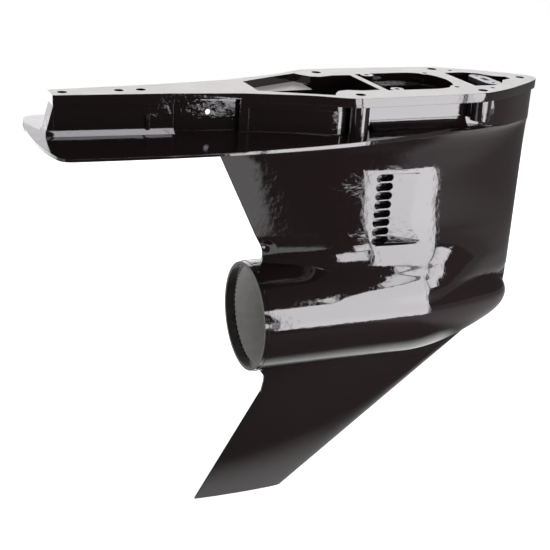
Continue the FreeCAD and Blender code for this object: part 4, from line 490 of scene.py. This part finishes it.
def castingCopy():
    # The CAD mesh merged and smoothed by angle, so that paint runs over its faces without seams
    limits = {"weld": 0.000012, "sharp": math.radians(28), "weight": 80, "deckTop": -0.0004, "deckUp": 0.9,
              "shelf": -0.009, "shelfNear": 0.0006, "shelfMiddle": -0.13, "shelfHalf": 0.09,
              "boreRadius": 0.0575, "boreAxis": -0.265, "boreStart": -0.1695, "boreEnd": 0.03,
              "plateFoot": -0.0471, "footNear": 0.0001, "collar": -0.1649, "torpedoTop": -0.197,
              "skinNear": 0.0028}
    mesh = frame["nodes"]["gearcase_housing"].data.copy()
    mesh.name = "castingSkin"
    mesh.attributes.remove(mesh.attributes["custom_normal"])
    work = bmesh.new()
    work.from_mesh(mesh)
    bmesh.ops.remove_doubles(work, verts=work.verts, dist=limits["weld"])
    # faces that the new skin covers go: below the plate, and not inside the bore
    spots = np.array([vert.co[:] for vert in work.verts])
    outer = (spots[:, 0] > limits["collar"]) | (spots[:, 2] > limits["torpedoTop"])
    near = outer & (spots[:, 2] < limits["plateFoot"])
    near = near & (np.abs(spots[:, 1]) > skinWidth(spots) - limits["skinNear"])
    work.verts.ensure_lookup_table()
    foot = limits["plateFoot"] + limits["footNear"]
    covered = [face for face in work.faces if all(vert.co.z < foot for vert in face.verts)
               and any(near[vert.index] for vert in face.verts)]
    bmesh.ops.delete(work, geom=covered, context="FACES")
    work.to_mesh(mesh)
    work.free()
    skin = bpy.data.objects.new("castingSkin", mesh)
    scene.collection.objects.link(skin)
    mesh.materials.clear()
    for name in ("casting", "deckFace", "boreMetal"):
        mesh.materials.append(materials[name])
    count = len(mesh.polygons)
    centre, normal = np.empty(count * 3), np.empty(count * 3)
    mesh.polygons.foreach_get("center", centre)
    mesh.polygons.foreach_get("normal", normal)
    (x, y, z), up = centre.reshape(-1, 3).T, normal.reshape(-1, 3)[:, 2]
    # The shelf faces deep in the aft well also take the pale deck metal. This is a painted reflection: the
    # shelf shows light, where black paint there would mirror only the well's dark wall.
    shelf = (np.abs(z - limits["shelf"]) < limits["shelfNear"]) \
        & (np.abs(x - limits["shelfMiddle"]) < limits["shelfHalf"])
    deck = ((z > limits["deckTop"]) | shelf) & (up > limits["deckUp"])
    bore = (np.hypot(y, z - limits["boreAxis"]) < limits["boreRadius"]) \
        & (x > limits["boreStart"]) & (x < limits["boreEnd"])
    mesh.polygons.foreach_set("material_index", (deck * 1 + (bore & ~deck) * 2).astype(np.int32))
    mesh.polygons.foreach_set("use_smooth", np.ones(count, dtype=bool))
    mesh.set_sharp_from_angle(angle=limits["sharp"])
    weigh = skin.modifiers.new("weigh", "WEIGHTED_NORMAL")
    weigh.keep_sharp, weigh.weight = True, limits["weight"]
    print("casting faces:", count, "deck", int(deck.sum()), "bore", int(bore.sum()))
    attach(skin, "housing")
    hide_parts("gearcase_housing")


def wallFillet(side):
    # Hollow quarter round at the wall's foot: y is wall + r(1 - cos a) and z is plate + r(1 - sin a),
    # swept along x
    foot = {"wall": 0.0437, "plate": -0.0422, "round": 0.0150, "aft": -0.0535, "bow": 0.0640,
            "rows": 17, "columns": 24}
    turn = np.linspace(0, np.pi / 2, foot["rows"])
    along = np.linspace(foot["aft"], foot["bow"], foot["columns"])
    y = side * (foot["wall"] + foot["round"] * (1 - np.cos(turn)))
    z = foot["plate"] + foot["round"] * (1 - np.sin(turn))
    points = np.stack(np.broadcast_arrays(along[None, ::side], y[:, None], z[:, None]), 2)
    strip = gridMesh("wallFillet" + ("Port" if side > 0 else "Starboard"), points)
    strip.data.materials.append(materials["casting"])
    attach(strip, "housing")


skinTable = skinGrid()
castingSkin()
castingCopy()
wallFillet(1)
wallFillet(-1)
print("wall fillets laid on the plate")


# Stage, light and camera
def stage():
    # Pale paper floor, evenly bright to the camera; in the paint it is a painted reflection, black and glowing
    # in zones: dark ahead, grey aft and bright behind the object
    paper = {"drop": 0.004, "size": 8.0, "colour": (0.93, 0.93, 0.935), "rough": 0.9, "glow": 0.73,
             "inPaint": 0.03, "aft": 1.0, "under": 0.9, "behind": 0.4, "farBehind": 1.6,
             "bow": 0.34, "farBow": 0.22}
    # eased edges of those zones in metres, and how much the aft zone's edge leans with y
    edges = {"aft": (0.262, 0.288), "aftLean": 0.1, "aftNear": (0.3, 0.4), "aftFar": (1.0, 1.1),
             "underNear": (-0.12, -0.01), "underFar": (0.2, 0.3), "underBow": (0.22, 0.3),
             "behind": (0.2, 0.3), "behindNear": (0.2, 0.35),
             "farBehind": (0.4, 0.7), "farBehindNear": (0.85, 1.1), "bow": (0.24, 0.40), "farBow": (0.6, 1.4)}
    mesh = bpy.data.meshes.new("floor")
    half, level = paper["size"] / 2, cadBox[0][2] - paper["drop"]
    corners = [(-half, -half), (half, -half), (half, half), (-half, half)]
    mesh.from_pydata([(*corner, level) for corner in corners], [], [(0, 1, 2, 3)])
    floor = bpy.data.objects.new("floor", mesh)
    scene.collection.objects.link(floor)
    material, shader, at = newMaterial("floorPaper", paper["colour"], 0.0, paper["rough"],
                                       Emission_Strength=1.0)
    x, y = (at.out("ShaderNodeSeparateXYZ", None, axis, Vector=at) for axis in "XY")
    shine, seen = (at.out("ShaderNodeLightPath", None, "Is %s Ray" % kind) for kind in ("Glossy", "Camera"))
    astern, starboard = 0.0 - x, 0.0 - y
    aft = (astern - edges["aftLean"] * y).smooth(*edges["aft"]) * starboard.smooth(*edges["aftNear"])
    aft = aft * (1.0 - starboard.smooth(*edges["aftFar"])) * paper["aft"]
    under = y.smooth(*edges["underNear"]) * (1.0 - y.smooth(*edges["underFar"]))
    under = under * (1.0 - x.smooth(*edges["underBow"])) * paper["under"]
    behind = astern.smooth(*edges["behind"]) * y.smooth(*edges["behindNear"]) * paper["behind"]
    farBehind = astern.smooth(*edges["farBehind"]) * y.smooth(*edges["farBehindNear"]) * paper["farBehind"]
    bow = x.smooth(*edges["bow"]) * (paper["bow"] - paper["farBow"] * x.smooth(*edges["farBow"]))
    # painted reflection: glow that only glossy rays see, zone by zone
    paintedReflectionGlow = paper["inPaint"] + aft + behind + farBehind + under + bow
    glow = shine * paintedReflectionGlow + paper["glow"] * seen
    # to glossy rays the floor is black, so the paint mirrors only the painted glow
    feed(shader, "Base Color", shine.mixColour(paper["colour"], (0.0, 0.0, 0.0)))
    feed(shader, "Emission Color", glow.out("ShaderNodeCombineColor", None, Red=glow, Green=glow, Blue=glow))
    mesh.materials.append(material)


def studioLight():
    softboxes = [
        # name, place, target, width, height, radiance; a box is as bright as its radiance, whatever its size
        ("sideBox", (0.29, -0.66, -0.145), (0.0, 0.0, -0.20), 0.36, 0.55, 6.6),
        ("crownBox", (0.36, -0.63, 0.235), (0.0, 0.0, 0.10), 0.24, 0.14, 6.2),
        ("filletBox", (-0.01, -0.85, -0.112), (-0.01, 0.0, -0.112), 0.24, 0.185, 6.2),
        ("sternBox", (0.069, -0.75, -0.275), (0.069, 0.0, -0.275), 0.095, 0.11, 6.4),
        ("bowBox", (0.52, -0.545, -0.04), (0.0, 0.0, -0.08), 0.13, 0.26, 6.4),
        ("ridgeBox", (-0.15, -0.42, 1.10), (-0.3, 0.0, -0.04), 0.40, 0.34, 4.0),
        ("backBox", (0.15, 1.45, 0.18), (0.0, 0.0, 0.0), 2.5, 1.05, 1.35),
        ("topBox", (-0.15, 0.2, 1.5), (-0.15, 0.0, 0.0), 1.6, 0.8, 0.9),
    ]
    air = {"tint": (0.985, 0.965, 1.0), "fill": 0.30, "seen": 0.75, "inPaint": 0.25}
    for name, place, target, width, height, radiance in softboxes:
        data = bpy.data.lights.new(name, "AREA")
        data.shape, data.size, data.size_y = "RECTANGLE", width, height
        data.energy = radiance * math.pi * width * height
        data.color = air["tint"]
        lamp = bpy.data.objects.new(name, data)
        lamp.location = place
        lamp.rotation_euler = (Vector(target) - Vector(place)).to_track_quat("-Z", "Y").to_euler()
        lamp.visible_camera = False
        scene.collection.objects.link(lamp)
    world = bpy.data.worlds.new("studio")
    scene.world = world
    world.use_nodes = True
    tree = world.node_tree
    path = tree.nodes.new("ShaderNodeLightPath")
    seen = Sock(tree, path.outputs["Is Camera Ray"])
    shine = Sock(tree, path.outputs["Is Glossy Ray"])
    grey = air["fill"] + air["seen"] * seen - air["inPaint"] * shine
    tone = grey.out("ShaderNodeCombineColor", None, Red=grey, Green=grey, Blue=grey)
    tree.links.new(tone.socket, tree.nodes["Background"].inputs["Color"])
    tree.nodes["Background"].inputs["Strength"].default_value = 1.0


def photoCamera():
    # Place, aim and lens fitted to the photo; roll in degrees, lens and sensor in mm
    view = {"eye": (-0.6453, -1.1351, 0.2670), "target": (-0.135, 0.0, -0.2183), "roll": 3.6,
            "lens": 77.1, "sensor": 36}
    data = bpy.data.cameras.new("photoCamera")
    data.lens, data.sensor_width = view["lens"], view["sensor"]
    camera = bpy.data.objects.new("photoCamera", data)
    look = (Vector(view["target"]) - Vector(view["eye"])).to_track_quat("-Z", "Y").to_matrix().to_4x4()
    roll = Matrix.Rotation(math.radians(view["roll"]), 4, "Z")
    camera.matrix_world = Matrix.Translation(view["eye"]) @ look @ roll
    scene.collection.objects.link(camera)
    scene.camera = camera


stage()
studioLight()
photoCamera()
scene.view_settings.view_transform = "Standard"
print("stage, light and camera set")
